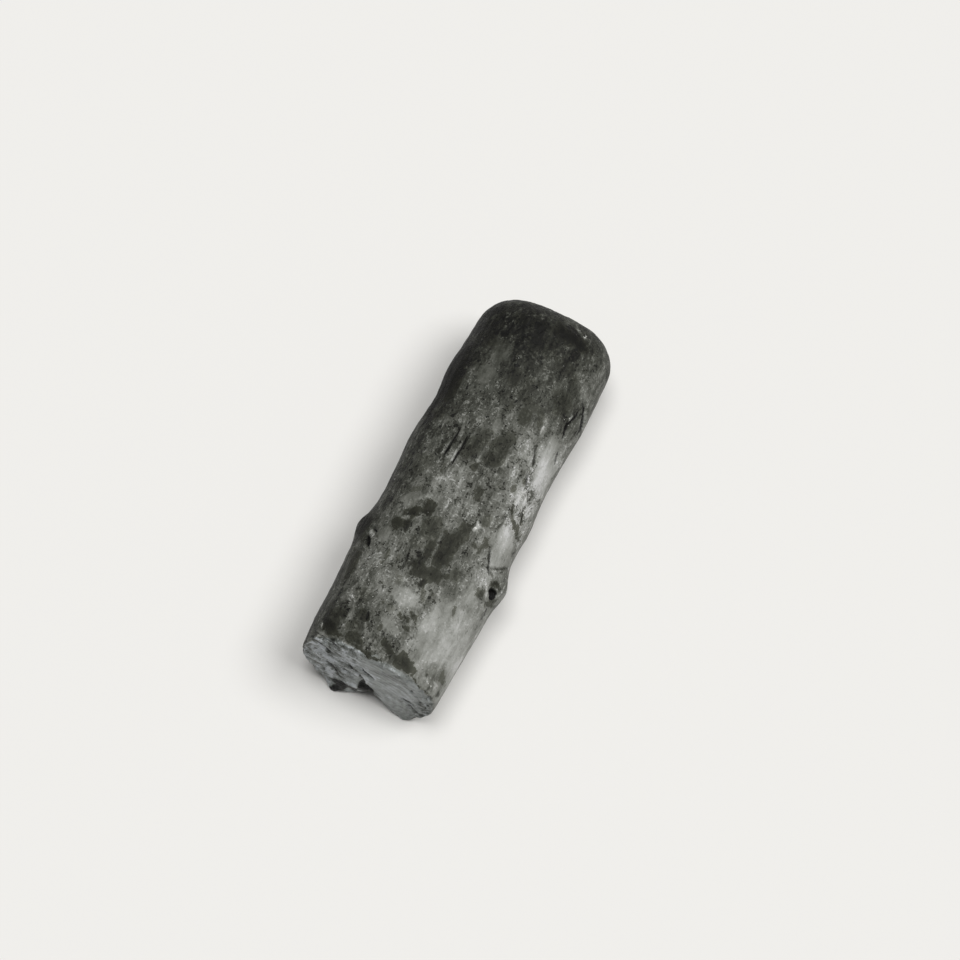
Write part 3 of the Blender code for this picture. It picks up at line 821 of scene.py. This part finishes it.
def along_line(across, up, points):
    """How far each point lies from a line through points, and how far along the line it is, from 0 to 1."""
    points = np.array(points, float)
    steps = np.linalg.norm(np.diff(points, axis=0), axis=1)
    starts = np.concatenate([[0], np.cumsum(steps)])
    away = np.full(across.shape, np.inf)
    travelled = np.zeros(across.shape)
    for start, step, first, second in zip(starts, steps, points, points[1:]):
        direction = (second - first) / step
        x = across - first[0]
        y = up - first[1]
        run = np.clip(x * direction[0] + y * direction[1], 0, step)
        distance = np.hypot(x - run * direction[0], y - run * direction[1])
        travelled = np.where(distance < away, (start + run) / starts[-1], travelled)
        away = np.minimum(away, distance)
    return away, travelled


def line_depth(across, up, points, width):
    """How far inside a line of some width each point lies, in millimetres. The line thins out at its ends."""
    away, travelled = along_line(across, up, points)
    return width / 2 * (1 - np.abs(2 * travelled - 1) ** 3) - away


def outline_depth(across, up, corners):
    """How far inside a closed outline each point lies, in millimetres. It is negative outside."""
    away, _ = along_line(across, up, (*corners, corners[0]))
    inside = np.zeros(across.shape, bool)
    for (x0, y0), (x1, y1) in zip(corners, (*corners[1:], corners[0])):
        crosses = (y0 > up) != (y1 > up)
        inside ^= crosses & (across < x0 + (up - y0) * (x1 - x0) / (y1 - y0 + TINY))
    return np.where(inside, away, -away)


def patches(across, up, marks):
    """How far inside the nearest of several outlines each point lies, and that outline's strength."""
    depth = np.full(across.shape, -OUTLINE_REACH)
    strength = np.zeros(across.shape)
    for mark_strength, corners in marks:
        inside = outline_depth(across, up, corners)
        strength = np.where(inside > depth, mark_strength, strength)
        depth = np.maximum(depth, inside)
    return np.minimum(depth, OUTLINE_REACH), strength


def crack_marks(across, up, cracks):
    """How far inside a crack each point lies, in millimetres, and how deep it is cut there."""
    inside = np.full(across.shape, -CRACK_REACH)
    cut = np.zeros(across.shape)
    for points, width, depth, darkness in cracks:
        crack = line_depth(across, up, points, width)
        inside = np.maximum(inside, np.minimum(crack, GAP_EDGE * (1 - darkness)))
        cut = np.maximum(cut, depth * smooth(*CRACK_BANK, crack))
    return inside, cut


# ---- marks

# The waver that keeps marks from having ruled edges: height and size, coarse and fine
WAVER = ((0.35, 2.4), (0.15, 0.9))
STRAIGHT_SHARE = 0.3  # how much of the waver reaches the marks that run straight
RAGGED = ((0.35, 2.2), (0.25, 1.0))  # the same for the edge of a crust

SCATTERED_HEIGHT = 2.2
SCATTERED_RARITY = 0.38
OUT_OF_SIGHT = 2  # lowers what belongs to the other side well under any edge
HIDDEN_FADE = (0.5, 0.2)  # shares of view between which the hidden sides' own marks come in
END_CRACKS_FADE = (8, 4)  # and distances from the rounded end

SKIN_TONE = 0.50
# Painted light and shade, partly darker skin on the left: lighter towards the lit right flank, darker on the
# left
TONE_TO_RIGHT = 0.0055  # a millimetre
TONE_TO_FAR_END = -0.0080  # a millimetre, over DARKENING
DARKENING = (93, 26)  # where the skin starts to darken up the sheet, and over what length
NEAR_LIFT = 0.07
NEAR_LIFT_EDGE = (40, 32)
CLOUDS = 0.13
CLOUDS_LOST_FAR = 0.05
FAR_CLOUDS_EDGE = (92, 104)
CLOUD_SIZE = 5
DRAWN_OUT = 0.45

BREAK_TONE = 0.80

# How even the skin is on the pale stretches, on the far end, low on the right and on the glassy snapped face,
# and what the chipped band on the right loses
CALM_PALE = 0.75
CALM_FAR = 0.15
CALM_RIGHT = 0.5
GLASSY_CALM = 0.6
CHIPPED_LOSS = 0.6


def wavering(place, layers, seed):
    """Noise in a coarse and a fine layer, in millimetres."""
    return sum(height * noise(place / size, seed + k) for k, (height, size) in enumerate(layers))


def hidden_cracks(log, drift):
    """The cracks of the sides and of the rounded end that the camera does not see."""
    around = MEAN_RADIUS * turn_between(log.angle, UNDERSIDE) + drift[0]
    gap, cut = crack_marks(around, log.along + drift[1], HIDDEN_CRACKS)
    hidden = smooth(*HIDDEN_FADE, log.in_view)
    on_side = hidden * (log.part == SIDE)
    end_gap, end_cut = crack_marks(log.across + drift[0], log.upward + drift[1], END_CRACKS)
    on_end = hidden * smooth(LENGTH - END_CRACKS_FADE[0], LENGTH - END_CRACKS_FADE[1], log.along)
    gap = np.maximum(gap - OUT_OF_SIGHT * (1 - on_side), end_gap - OUT_OF_SIGHT * (1 - on_end))
    return gap, np.maximum(cut * on_side, end_cut * on_end)


def hidden_tone(log):
    """Changes of tone out of the camera's sight: growth rings on the rounded end and a scuffed underside."""
    from_pith = np.hypot(log.across - PITH[0], log.upward - PITH[1]) + 0.8 * noise(log.place / 6, 61)
    rings = np.sin(2 * math.pi * from_pith / RING_WIDTH)
    on_end = smooth(LENGTH - 5, LENGTH - 1, log.along)
    scuffed = smooth(1.5, 0.3, log.place[..., 2]) * smooth(-0.2, 0.4, layered(log.place / 8, 2, 63))
    return (0.03 * rings * on_end + 0.12 * scuffed) * (1 - log.in_view)


def skin_tone(log, across, up):
    """How light the skin looks, from 0 to 1, before the crust, the cracks and the finest grain."""
    start, run = DARKENING
    # painted light and shade: lighter across to the right, where the light falls, darker down the left flank
    tone = SKIN_TONE + TONE_TO_RIGHT * log.across * log.in_view
    tone = tone + TONE_TO_FAR_END * np.clip(log.sheet_up - start, 0, run) * log.in_view
    tone = tone + NEAR_LIFT * smooth(*NEAR_LIFT_EDGE, log.sheet_up)
    for *oval, change in SHADES:
        reach = 1 - patch_depth(across, up, *oval) / min(oval[2], oval[3])
        tone = tone + change * np.exp(-(reach**2)) * log.in_view
    cloudy = CLOUDS - CLOUDS_LOST_FAR * smooth(*FAR_CLOUDS_EDGE, log.sheet_up) * log.in_view
    return tone + cloudy * layered(log.stretched(DRAWN_OUT) / CLOUD_SIZE, 3, 31)


def face_share(log):
    """1 on the snapped face and just over its rim on the crown, where the break shows, and 0 elsewhere."""
    reach = FACE_OVER_RIM * smooth(0.3, 0.8, log.normal[..., 2]) * smooth(17, 10, log.across)
    reach = reach + 0.5 * layered(log.place / 3.6, 2, 45) * smooth(0, 0.5, reach)
    over = smooth(0.25, -0.25, log.along - reach) * (log.part == SIDE)
    return np.maximum(log.on_face, over)


def face_tone(log):
    """The tone of the snapped face: even and glassy, but for its flaky left and its chipped corner."""
    across = log.sheet_across
    up = log.sheet_up
    tone = BREAK_TONE + 0.05 * layered(log.section(0.45) / 5, 2, 35) + 0.045 * ripples(log)
    tone = tone - 0.06 * smooth(14, 19, log.across) - 0.10 * smooth(17, 21, log.across)
    tone = tone - 0.12 * smooth(3.5, 6.5, up)
    tone = tone - 0.30 * smooth(-13, -19, across) * smooth(3.8, 5.6, up)
    tone = tone - 0.08 * smooth(-1.5, -4, up) * smooth(8, 14, across)
    over_rim = smooth(0.3, 1.2, log.along) * (log.part == SIDE)
    flaky = smooth(-3, -9, log.across)
    streaks = layered(log.section(0.45) / 2.4, 3, 36)
    return tone + flaky * (0.34 * streaks + 0.02) - 0.08 * over_rim


def crust_and_shade_marks(log, across, up, ragged):
    """How far inside the dark crusts and the painted shade each point lies, in millimetres, and how dark they
    are there.
    """
    crust_and_shade, cover = patches(across, up, CRUSTS_AND_SHADE)
    crust_and_shade = np.where(log.visible, crust_and_shade, -OUTLINE_REACH)
    scattered = layered(log.stretched(DRAWN_OUT) / 7, 3, 23) - SCATTERED_RARITY
    scattered = SCATTERED_HEIGHT * (scattered - OUT_OF_SIGHT * log.in_view)
    cover = np.where(scattered > crust_and_shade, 0.7 + 0.4 * noise(log.place / 6, 25), cover)
    crust_and_shade = np.maximum(crust_and_shade, scattered) + ragged
    return np.clip(crust_and_shade, -OUTLINE_REACH, OUTLINE_REACH), np.clip(cover, 0, 1)


def calmness(log, across, up, pale):
    """How even the skin is, from 0 where it is grainy to 1 where it is smooth."""
    calm = np.maximum(CALM_PALE * pale, CALM_FAR * smooth(94, 110, log.sheet_up))
    right = CALM_RIGHT * smooth(4, 10, log.sheet_across) * smooth(46, 34, log.sheet_up) * log.in_view
    chipped = smooth(12.5, 15, across) * smooth(22.5, 20.5, across) * smooth(64, 69, up) * smooth(88, 80, up)
    return np.maximum(calm, right) - CHIPPED_LOSS * chipped * log.in_view


def with_strokes(log, tone, across, up):
    """The tone with the narrow strokes and the filled outlines drawn on it, painted highlights and painted
    shade among them.
    """
    for points, width, change in STROKES:
        stroke = line_depth(across, up, points, width)
        tone = tone + change * smooth(-0.22, 0.12, stroke) * log.visible
    for fill_tone, corners in TONE_AND_SHADE_FILLS:
        share = smooth(-0.2, 0.25, outline_depth(across, up, corners)) * log.visible
        tone = tone + (fill_tone - tone) * share
    return tone


def seen_cracks(log, sheet, straight):
    """How far inside the seen cracks and holes each point lies, and how deep it is cut there."""
    gap, cut = crack_marks(*straight, CRACKS)
    for *oval, depth in HOLES:
        inside = patch_depth(*sheet, *oval)
        gap = np.maximum(gap, inside)
        cut = np.maximum(cut, depth * smooth(-0.3, 0.6, inside))
    gap = np.maximum(gap, -CRACK_REACH) * log.visible - OUT_OF_SIGHT * (1 - log.in_view)
    return gap, cut * log.in_view


def spark_marks(log):
    """How thick the white flecks and the painted glints lie, from 0 to 1."""
    spark = np.zeros(log.sheet_up.shape)
    for centre_across, centre_up, reach, strength in GLINTS_AND_FLECKS:
        away = np.hypot(log.sheet_across - centre_across, log.sheet_up - centre_up) / reach
        spark = np.maximum(spark, strength * np.exp(-(away**2)))
    return spark * log.visible


def make_marks(log):
    """What the material reads at each point, and how deep the cracks and holes are cut."""
    drift = [wavering(log.place, WAVER, seed) for seed in (11, 13)]
    sheet = (log.sheet_across + drift[0], log.sheet_up + drift[1])
    straight = (log.sheet_across + STRAIGHT_SHARE * drift[0], log.sheet_up + STRAIGHT_SHARE * drift[1])
    ragged = wavering(log.place, RAGGED, 21)

    crust_and_shade, cover = crust_and_shade_marks(log, *sheet, ragged)
    pale, lift = patches(*sheet, PALES_AND_HIGHLIGHTS)
    pale = smooth(-0.4, 0.4, np.where(log.visible, pale, -OUTLINE_REACH) + ragged)
    face = face_share(log) * np.where(log.on_face > 0, 1, smooth(0.2, -0.2, crust_and_shade))
    crust_and_shade = np.where(face > 0.5, -OUTLINE_REACH, crust_and_shade)
    glassy = GLASSY_CALM * smooth(-9, -3, log.across) * smooth(19, 14, log.across)
    calm = np.where(face > 0.5, glassy, calmness(log, *sheet, pale))

    tone = skin_tone(log, *sheet)
    tone = tone + (face_tone(log) - tone) * face + hidden_tone(log) + lift * pale
    tone = with_strokes(log, tone, *straight)

    gap, cut = seen_cracks(log, sheet, straight)
    hidden_gap, hidden_cut = hidden_cracks(log, drift)
    marks = {"tone": tone, "crust_and_shade": crust_and_shade, "cover": cover, "gap": np.maximum(gap, hidden_gap)}
    marks.update({"spark": spark_marks(log), "calm": calm, "face": face})
    return marks, np.maximum(cut, hidden_cut)


# ---- relief

LIP_DIRECTION = np.subtract(LIP_END, LIP_START) / math.dist(LIP_END, LIP_START)

# The relief of the skin: height, how its length is shortened before the noise is read, size and seed
WAVES = ((0.30, 0.35, 13, 51),)
RIDGES = ((0.11, 0.09, 2.2, 52), (0.06, 0.09, 1.0, 53))
LUMPS = ((0.10, 1, 3.2, 54), (0.05, 1, 1.3, 55))
CALM_FLATTENS = 0.6
CRUST_HEIGHT = 0.12
CRUST_BANK = (-0.25, 0.25)
SKIN_SINK = 0.25  # lowers the skin by what the relief stands out, so that it stays inside the CAD model's box


def ripples(log):
    """The shell-shaped ripples of the snapped face, from -1 to 1."""
    from_middle = np.hypot(log.across - RIPPLE_MIDDLE[0], log.upward - RIPPLE_MIDDLE[1])
    waver = 1.6 * noise(log.section(1) / 9, 42)
    return np.sin(2 * math.pi * (from_middle + waver) / RIPPLE_WIDTH)


def lip_hollow(log):
    """The hollow under the lip that runs down the snapped face."""
    x = log.across - LIP_START[0]
    y = log.upward - LIP_START[1]
    below = x * LIP_DIRECTION[1] - y * LIP_DIRECTION[0]
    return HOLLOW_DEPTH * smooth(0, 0.6, below) * smooth(-1.6, 0.8, x) * smooth(-12.5, -10, log.upward)


def face_hollow(log):
    """How far the snapped end is broken back from level, by its place in the section."""
    flaky = smooth(-2, -7, log.across)
    flakes = 0.28 * terraces(2.2 * layered(log.section(0.35) / 4, 3, 41), 0.25)
    chips = 0.9 * smooth(0.86, 1, log.share) * np.maximum(layered(log.place / 4, 3, 43) + 0.1, 0)
    corner = 0.9 * smooth(12, 17, log.across) * np.maximum(layered(log.place / 2, 3, 44), 0)
    return lip_hollow(log) + flaky * (0.3 + flakes) + (1 - flaky) * 0.06 * ripples(log) + chips + corner


def raised(log, layers):
    """How far layers of noise raise each point."""
    return sum(height * noise(log.stretched(drawn) / size, seed) for height, drawn, size, seed in layers)


def relief(log, marks, cut):
    """How far each point is moved outwards."""
    rough = (raised(log, RIDGES) + raised(log, LUMPS)) * (1 - CALM_FLATTENS * marks["calm"])
    crusted_and_shaded = CRUST_HEIGHT * smooth(*CRUST_BANK, marks["crust_and_shade"])
    return (1 - log.on_face) * (raised(log, WAVES) + rough + crusted_and_shaded - SKIN_SINK) - cut


def finished_points(log, marks, cut):
    """The grid with its relief, kept inside the CAD model's box and above the ground."""
    points = log.place + log.normal * relief(log, marks, cut)[..., None]
    near = (log.part != ROUNDED) * (log.along < 5 * BREAK_RUN)
    points[..., 1] += face_hollow(log) * np.exp(-log.along / BREAK_RUN) * near
    low, high = np.array(CAD_BOX) / MM
    return np.clip(points, low, high)


# ---- the mesh

# The map: the side is rolled out flat above, and the two ends lie below it
SIDE_MAP = (0.30, 0.995)
END_MAPS = {FACE: ((0.26, 0.145), 0.0056), ROUNDED: ((0.76, 0.145), 0.011)}  # middle, and map to a millimetre


def write_mesh(log, points, marks):
    """The mesh object from the grid of points, with each mark as an attribute."""
    rows = points.shape[0]
    middles = [points[0].mean(axis=0), points[-1].mean(axis=0)]
    places = np.concatenate([points.reshape(-1, 3), middles]) * MM
    index = np.arange(rows * AROUND).reshape(rows, AROUND)
    following = np.roll(index, -1, axis=1)
    quads = np.stack([index[:-1], index[1:], following[1:], following[:-1]], axis=-1).reshape(-1, 4)
    near = [(rows * AROUND, a, b) for a, b in zip(index[0], following[0])]
    far = [(rows * AROUND + 1, b, a) for a, b in zip(index[-1], following[-1])]
    mesh = bpy.data.meshes.new("charcoal_log")
    mesh.from_pydata(places.tolist(), [], quads.tolist() + near + far)
    mesh.shade_smooth()
    for name, values in marks.items():
        values = np.append(values.ravel(), [values[0].mean(), values[-1].mean()])
        mesh.attributes.new(name, "FLOAT", "POINT").data.foreach_set("value", values.astype(np.float32))
    unwrap(mesh, log, rows)
    piece = bpy.data.objects.new("charcoal_log", mesh)
    bpy.context.scene.collection.objects.link(piece)
    return piece


def side_heights(log, first, last):
    """Each row's height in the map of the side, by its distance over the surface."""
    path = np.concatenate([[0], np.cumsum(np.linalg.norm(np.diff(log.place[:, 0], axis=0), axis=-1))])
    low, high = SIDE_MAP
    return low + (high - low) * (path - path[first]) / (path[last] - path[first])


def unwrap(mesh, log, rows):
    """The map of the mesh, corner by corner, in the order of its faces."""
    nets = {}
    for part, (middle, spread) in END_MAPS.items():
        nets[part] = np.stack([middle[0] + log.across * spread, middle[1] + log.upward * spread], axis=-1)
    side_rows = np.where(log.part[:, 0] == SIDE)[0]
    first, last = side_rows[0] - 1, side_rows[-1]
    height = side_heights(log, first, last)
    corners = []
    for row in range(rows - 1):
        for k in range(AROUND):
            following = (k + 1) % AROUND
            if first <= row < last:
                left, right = k / AROUND, (k + 1) / AROUND
                corners += [(left, height[row]), (left, height[row + 1])]
                corners += [(right, height[row + 1]), (right, height[row])]
            else:
                net = nets[FACE if row < first else ROUNDED]
                corners += [net[row, k], net[row + 1, k], net[row + 1, following], net[row, following]]
    for k in range(AROUND):
        corners += [END_MAPS[FACE][0], nets[FACE][0, k], nets[FACE][0, (k + 1) % AROUND]]
    for k in range(AROUND):
        corners += [END_MAPS[ROUNDED][0], nets[ROUNDED][-1, (k + 1) % AROUND], nets[ROUNDED][-1, k]]
    layer = mesh.uv_layers.new(name="OFBake")
    layer.data.foreach_set("uv", np.array(corners, np.float32).ravel())


# ---- the material

class Graph:
    """Short ways to add and join shader nodes."""

    def __init__(self, name):
        self.material = bpy.data.materials.new(name)
        self.material.use_nodes = True
        self.tree = self.material.node_tree
        self.shader = self.tree.nodes["Principled BSDF"]

    def add(self, kind, inputs, output=0, **settings):
        """A node whose inputs are numbers, colours or the outputs of other nodes."""
        node = self.tree.nodes.new(kind)
        for name, value in settings.items():
            setattr(node, name, value)
        for key, value in inputs.items():
            self.connect(value, node.inputs[key])
        return node.outputs[output]

    def connect(self, value, socket):
        """Joins a node's output to a socket, or sets the socket to a constant."""
        if isinstance(value, bpy.types.NodeSocket):
            self.tree.links.new(value, socket)
        else:
            socket.default_value = value

    def finish(self, inputs):
        """Sets the shader's inputs and gives the material."""
        for name, value in inputs.items():
            self.connect(value, self.shader.inputs[name])
        return self.material

    def mark(self, name):
        return self.add("ShaderNodeAttribute", {}, output="Fac", attribute_name=name)

    def math(self, operation, *values):
        return self.add("ShaderNodeMath", dict(enumerate(values)), operation=operation)

    def mixed(self, layers, weights):
        """The sum of the named layers, each times its weight."""
        result = 0.0
        for name, weight in weights.items():
            result = self.math("MULTIPLY_ADD", layers[name], weight, result)
        return result

    def step(self, value, low, high):
        """0 at low, 1 at high, smoothly."""
        inputs = {"Value": value, "From Min": low, "From Max": high}
        return self.add("ShaderNodeMapRange", inputs, interpolation_type="SMOOTHSTEP")

    def blend(self, share, first, second):
        """A number between two others."""
        return self.add("ShaderNodeMix", {0: share, 2: first, 3: second}, data_type="FLOAT")

    def tint(self, share, first, second, blend_type="MIX"):
        """A colour between two others."""
        inputs = {0: share, 6: first, 7: (*second, 1)}
        return self.add("ShaderNodeMix", inputs, output=2, data_type="RGBA", blend_type=blend_type)

    def vector(self, operation, *values):
        return self.add("ShaderNodeVectorMath", dict(enumerate(values)), operation=operation)

    def noise(self, place, scale, detail, roughness):
        """Noise about zero, with its cells 1 / scale millimetres wide."""
        inputs = {"Vector": place, "Scale": scale, "Detail": detail, "Roughness": roughness}
        return self.math("SUBTRACT", self.add("ShaderNodeTexNoise", inputs), 0.5)

    def flakes(self, place, scale):
        """A number about zero that changes from one small flake to the next."""
        cells = self.add("ShaderNodeTexVoronoi", {"Vector": place, "Scale": scale}, output="Color")
        return self.math("SUBTRACT", self.add("ShaderNodeSeparateColor", {0: cells}), 0.5)

    def warped(self, place, scale, reach):
        """The place, drawn this way and that by reach millimetres."""
        inputs = {"Vector": place, "Scale": scale, "Detail": 3.0}
        pull = self.add("ShaderNodeTexNoise", inputs, output="Color")
        pull = self.vector("SUBTRACT", pull, (0.5, 0.5, 0.5))
        return self.vector("MULTIPLY_ADD", pull, (reach, reach, reach), place)

    def ramp(self, value, stops):
        """A colour read from (place, colour) stops."""
        node = self.tree.nodes.new("ShaderNodeValToRGB")
        elements = node.color_ramp.elements
        while len(elements) < len(stops):
            elements.new(1.0)
        for element, (position, colour) in zip(elements, stops):
            element.position = position
            element.color = (*colour, 1)
        self.connect(value, node.inputs[0])
        return node.outputs[0]


# Colour by tone: the tone is how light the surface looks, from 0 to 1
TONES = (
    (0.00, (0.002, 0.002, 0.002)),
    (0.15, (0.005, 0.005, 0.004)),
    (0.20, (0.008, 0.008, 0.006)),
    (0.30, (0.028, 0.029, 0.022)),
    (0.40, (0.058, 0.060, 0.049)),
    (0.50, (0.102, 0.104, 0.089)),
    (0.60, (0.158, 0.161, 0.142)),
    (0.70, (0.226, 0.230, 0.208)),
    (0.80, (0.308, 0.312, 0.289)),
    (0.90, (0.410, 0.412, 0.392)),
    (1.00, (0.56, 0.56, 0.55)),
)
CRUST_AND_SHADE_TINT = (1.01, 1.0, 0.94)
BREAK_TINT = (0.95, 1.0, 1.06)
# painted shade inside cracks and holes
GAP_COLOUR = (0.004, 0.004, 0.0035)
# the white of the flecks and of the painted glints
FLECK_AND_GLINT_COLOUR = (0.72, 0.72, 0.68)

# What each part of the look is mixed from: layers of texture and marks, with their weights
CRUST_EDGE = {
    "mottle": 2.8, "grain": 2.0, "speckle": 0.9,
    "small_flakes": 0.6, "large_flakes": 0.8, "crust_and_shade": 1.0,
}
QUIET = {"calm": -0.68, "crusted_and_shaded": -0.45, "one": 1.0}
LIGHT_DABS = {"speckle": 0.5, "grain": 0.6, "mottle": 0.9, "calm": -0.08}
DARK_DABS = {"speckle": -0.4, "grain": 0.8, "mottle": -0.9, "calm": -0.10}
TONE_CHANGE = {
    "mottle": 0.30, "streaks": 0.28, "speckle": 0.23, "grain": 0.25,
    "large_flakes": 0.13, "small_flakes": 0.12, "light_dabs": 0.15, "dark_dabs": -0.22,
}
CRUST_AND_SHADE_TONE = {"tone": 0.35, "crust_and_shade": -0.03, "one": 0.13}
GAP = {"gap": 1.0, "speckle": 0.25}
WHITE_FLECKS_AND_GLINTS = {"flecks": 1.0, "spark": 0.24}
ROUGH = {"crusted_and_shaded": 0.14, "face": -0.16, "speckle": 0.5, "one": 0.56}
HEIGHT = {
    "mottle": 0.8, "streaks": 0.6, "speckle": 0.8, "grain": 0.9,
    "dark_dabs": -0.3, "large_flakes": 0.2, "small_flakes": 0.2, "flecked_and_glinting": 0.3,
}


def texture_layers(graph):
    """The textures, the mesh's marks and a plain 1, by name. Some textures are drawn out along the log."""
    position = graph.add("ShaderNodeTexCoord", {}, output="Object")
    place = graph.vector("MULTIPLY", position, (1 / MM,) * 3)
    drawn = graph.warped(place, 0.5, 1.6)
    long_flakes = graph.vector("MULTIPLY", drawn, (1, 0.5, 1))
    layers = {name: graph.mark(name) for name in ("crust_and_shade", "cover", "gap", "spark", "calm", "face")}
    layers["one"] = 1.0
    layers["mottle"] = graph.noise(graph.vector("MULTIPLY", place, (1, 0.6, 1)), 0.36, 7, 0.66)
    layers["streaks"] = graph.noise(graph.vector("MULTIPLY", place, (1, 0.14, 1)), 1.6, 3, 0.6)
    layers["speckle"] = graph.noise(place, 1.8, 1, 0.6)
    layers["grain"] = graph.noise(drawn, 0.8, 2, 0.5)
    layers["flecks"] = graph.noise(place, 1.2, 2, 0.6)
    layers["large_flakes"] = graph.flakes(long_flakes, 0.42)
    layers["small_flakes"] = graph.flakes(long_flakes, 1.15)
    return layers


def charcoal_colour(graph, layers, quiet):
    """The colour, from the tone of each point to the painted black shade of the gaps and the white flecks and
    painted glints on top.
    """
    change = graph.mixed(layers, TONE_CHANGE)
    layers["tone"] = graph.math("MULTIPLY_ADD", change, quiet, graph.mark("tone"))
    # the crust's dark tone, also laid on the painted shade down the left flank
    tone = graph.blend(layers["crusted_and_shaded"], layers["tone"], graph.mixed(layers, CRUST_AND_SHADE_TONE))
    colour = graph.ramp(tone, TONES)
    colour = graph.tint(layers["crusted_and_shaded"], colour, CRUST_AND_SHADE_TINT, "MULTIPLY")
    colour = graph.tint(layers["face"], colour, BREAK_TINT, "MULTIPLY")
    # painted shade: black inside the cracks and holes
    gap = graph.step(graph.mixed(layers, GAP), GAP_EDGE, 0.02)
    colour = graph.tint(gap, colour, GAP_COLOUR)
    return graph.tint(layers["flecked_and_glinting"], colour, FLECK_AND_GLINT_COLOUR)


def charcoal_material():
    graph = Graph("charcoal")
    layers = texture_layers(graph)
    ragged = graph.step(graph.mixed(layers, CRUST_EDGE), -0.12, 0.12)
    layers["crusted_and_shaded"] = graph.math("MULTIPLY", ragged, layers["cover"])
    layers["light_dabs"] = graph.step(graph.mixed(layers, LIGHT_DABS), 0.12, 0.14)
    layers["dark_dabs"] = graph.step(graph.mixed(layers, DARK_DABS), 0.13, 0.15)
    layers["flecked_and_glinting"] = graph.step(graph.mixed(layers, WHITE_FLECKS_AND_GLINTS), 0.25, 0.29)
    quiet = graph.math("MAXIMUM", graph.mixed(layers, QUIET), 0.12)
    height = graph.math("MULTIPLY", graph.mixed(layers, HEIGHT), quiet)
    bump = graph.add("ShaderNodeBump", {"Height": height, "Distance": 0.6 * MM, "Strength": 0.8})
    return graph.finish({
        "Base Color": charcoal_colour(graph, layers, quiet),
        "Roughness": graph.mixed(layers, ROUGH),
        "Normal": bump,
        "Specular IOR Level": 0.2,
    })


# ---- the piece

def charcoal_log():
    log = Log()
    marks, cut = make_marks(log)
    points = finished_points(log, marks, cut)
    piece = write_mesh(log, points, marks)
    piece.data.materials.append(charcoal_material())
    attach(piece, "root")
    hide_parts("charcoal_lump")


# ---- floor, light and camera

FLOOR_HALF = 6
FLOOR_COLOUR = (0.82, 0.81, 0.785, 1)
WORLD_STRENGTH = 0.11

# Lights: name, direction towards it, strength and spread in degrees
SUNS = (
    ("key", (0.50, 0.20, 1.0), 1.75, 30),
    ("overhead", (-0.03, 0.02, 1), 1.45, 24),
)


def pale_floor():
    corners = [(x * FLOOR_HALF, y * FLOOR_HALF, 0) for x, y in ((-1, -1), (1, -1), (1, 1), (-1, 1))]
    mesh = bpy.data.meshes.new("floor")
    mesh.from_pydata(corners, [], [(0, 1, 2, 3)])
    floor = bpy.data.objects.new("floor", mesh)
    bpy.context.scene.collection.objects.link(floor)
    paint = {"Base Color": FLOOR_COLOUR, "Roughness": 0.9, "Specular IOR Level": 0.1}
    mesh.materials.append(Graph("floor").finish(paint))


def add_camera():
    back, _, _ = camera_directions()
    data = bpy.data.cameras.new("camera")
    data.lens = CAMERA_LENS
    camera = bpy.data.objects.new("camera", data)
    camera.location = aim_point() + back * CAMERA_DISTANCE
    camera.rotation_euler = back.to_track_quat("Z", "Y").to_euler()
    bpy.context.scene.collection.objects.link(camera)
    bpy.context.scene.camera = camera


def add_suns():
    """Wide, even lights from above."""
    for name, toward, strength, spread in SUNS:
        data = bpy.data.lights.new(name, "SUN")
        data.energy = strength
        data.angle = math.radians(spread)
        sun = bpy.data.objects.new(name, data)
        sun.rotation_euler = Vector(toward).to_track_quat("Z", "Y").to_euler()
        bpy.context.scene.collection.objects.link(sun)


def add_world():
    world = bpy.data.worlds.new("studio")
    bpy.context.scene.world = world
    world.use_nodes = True
    background = world.node_tree.nodes["Background"]
    background.inputs["Color"].default_value = (1, 1, 1, 1)
    background.inputs["Strength"].default_value = WORLD_STRENGTH


charcoal_log()
pale_floor()
add_suns()
add_world()
add_camera()
bpy.context.scene.view_settings.view_transform = "Standard"
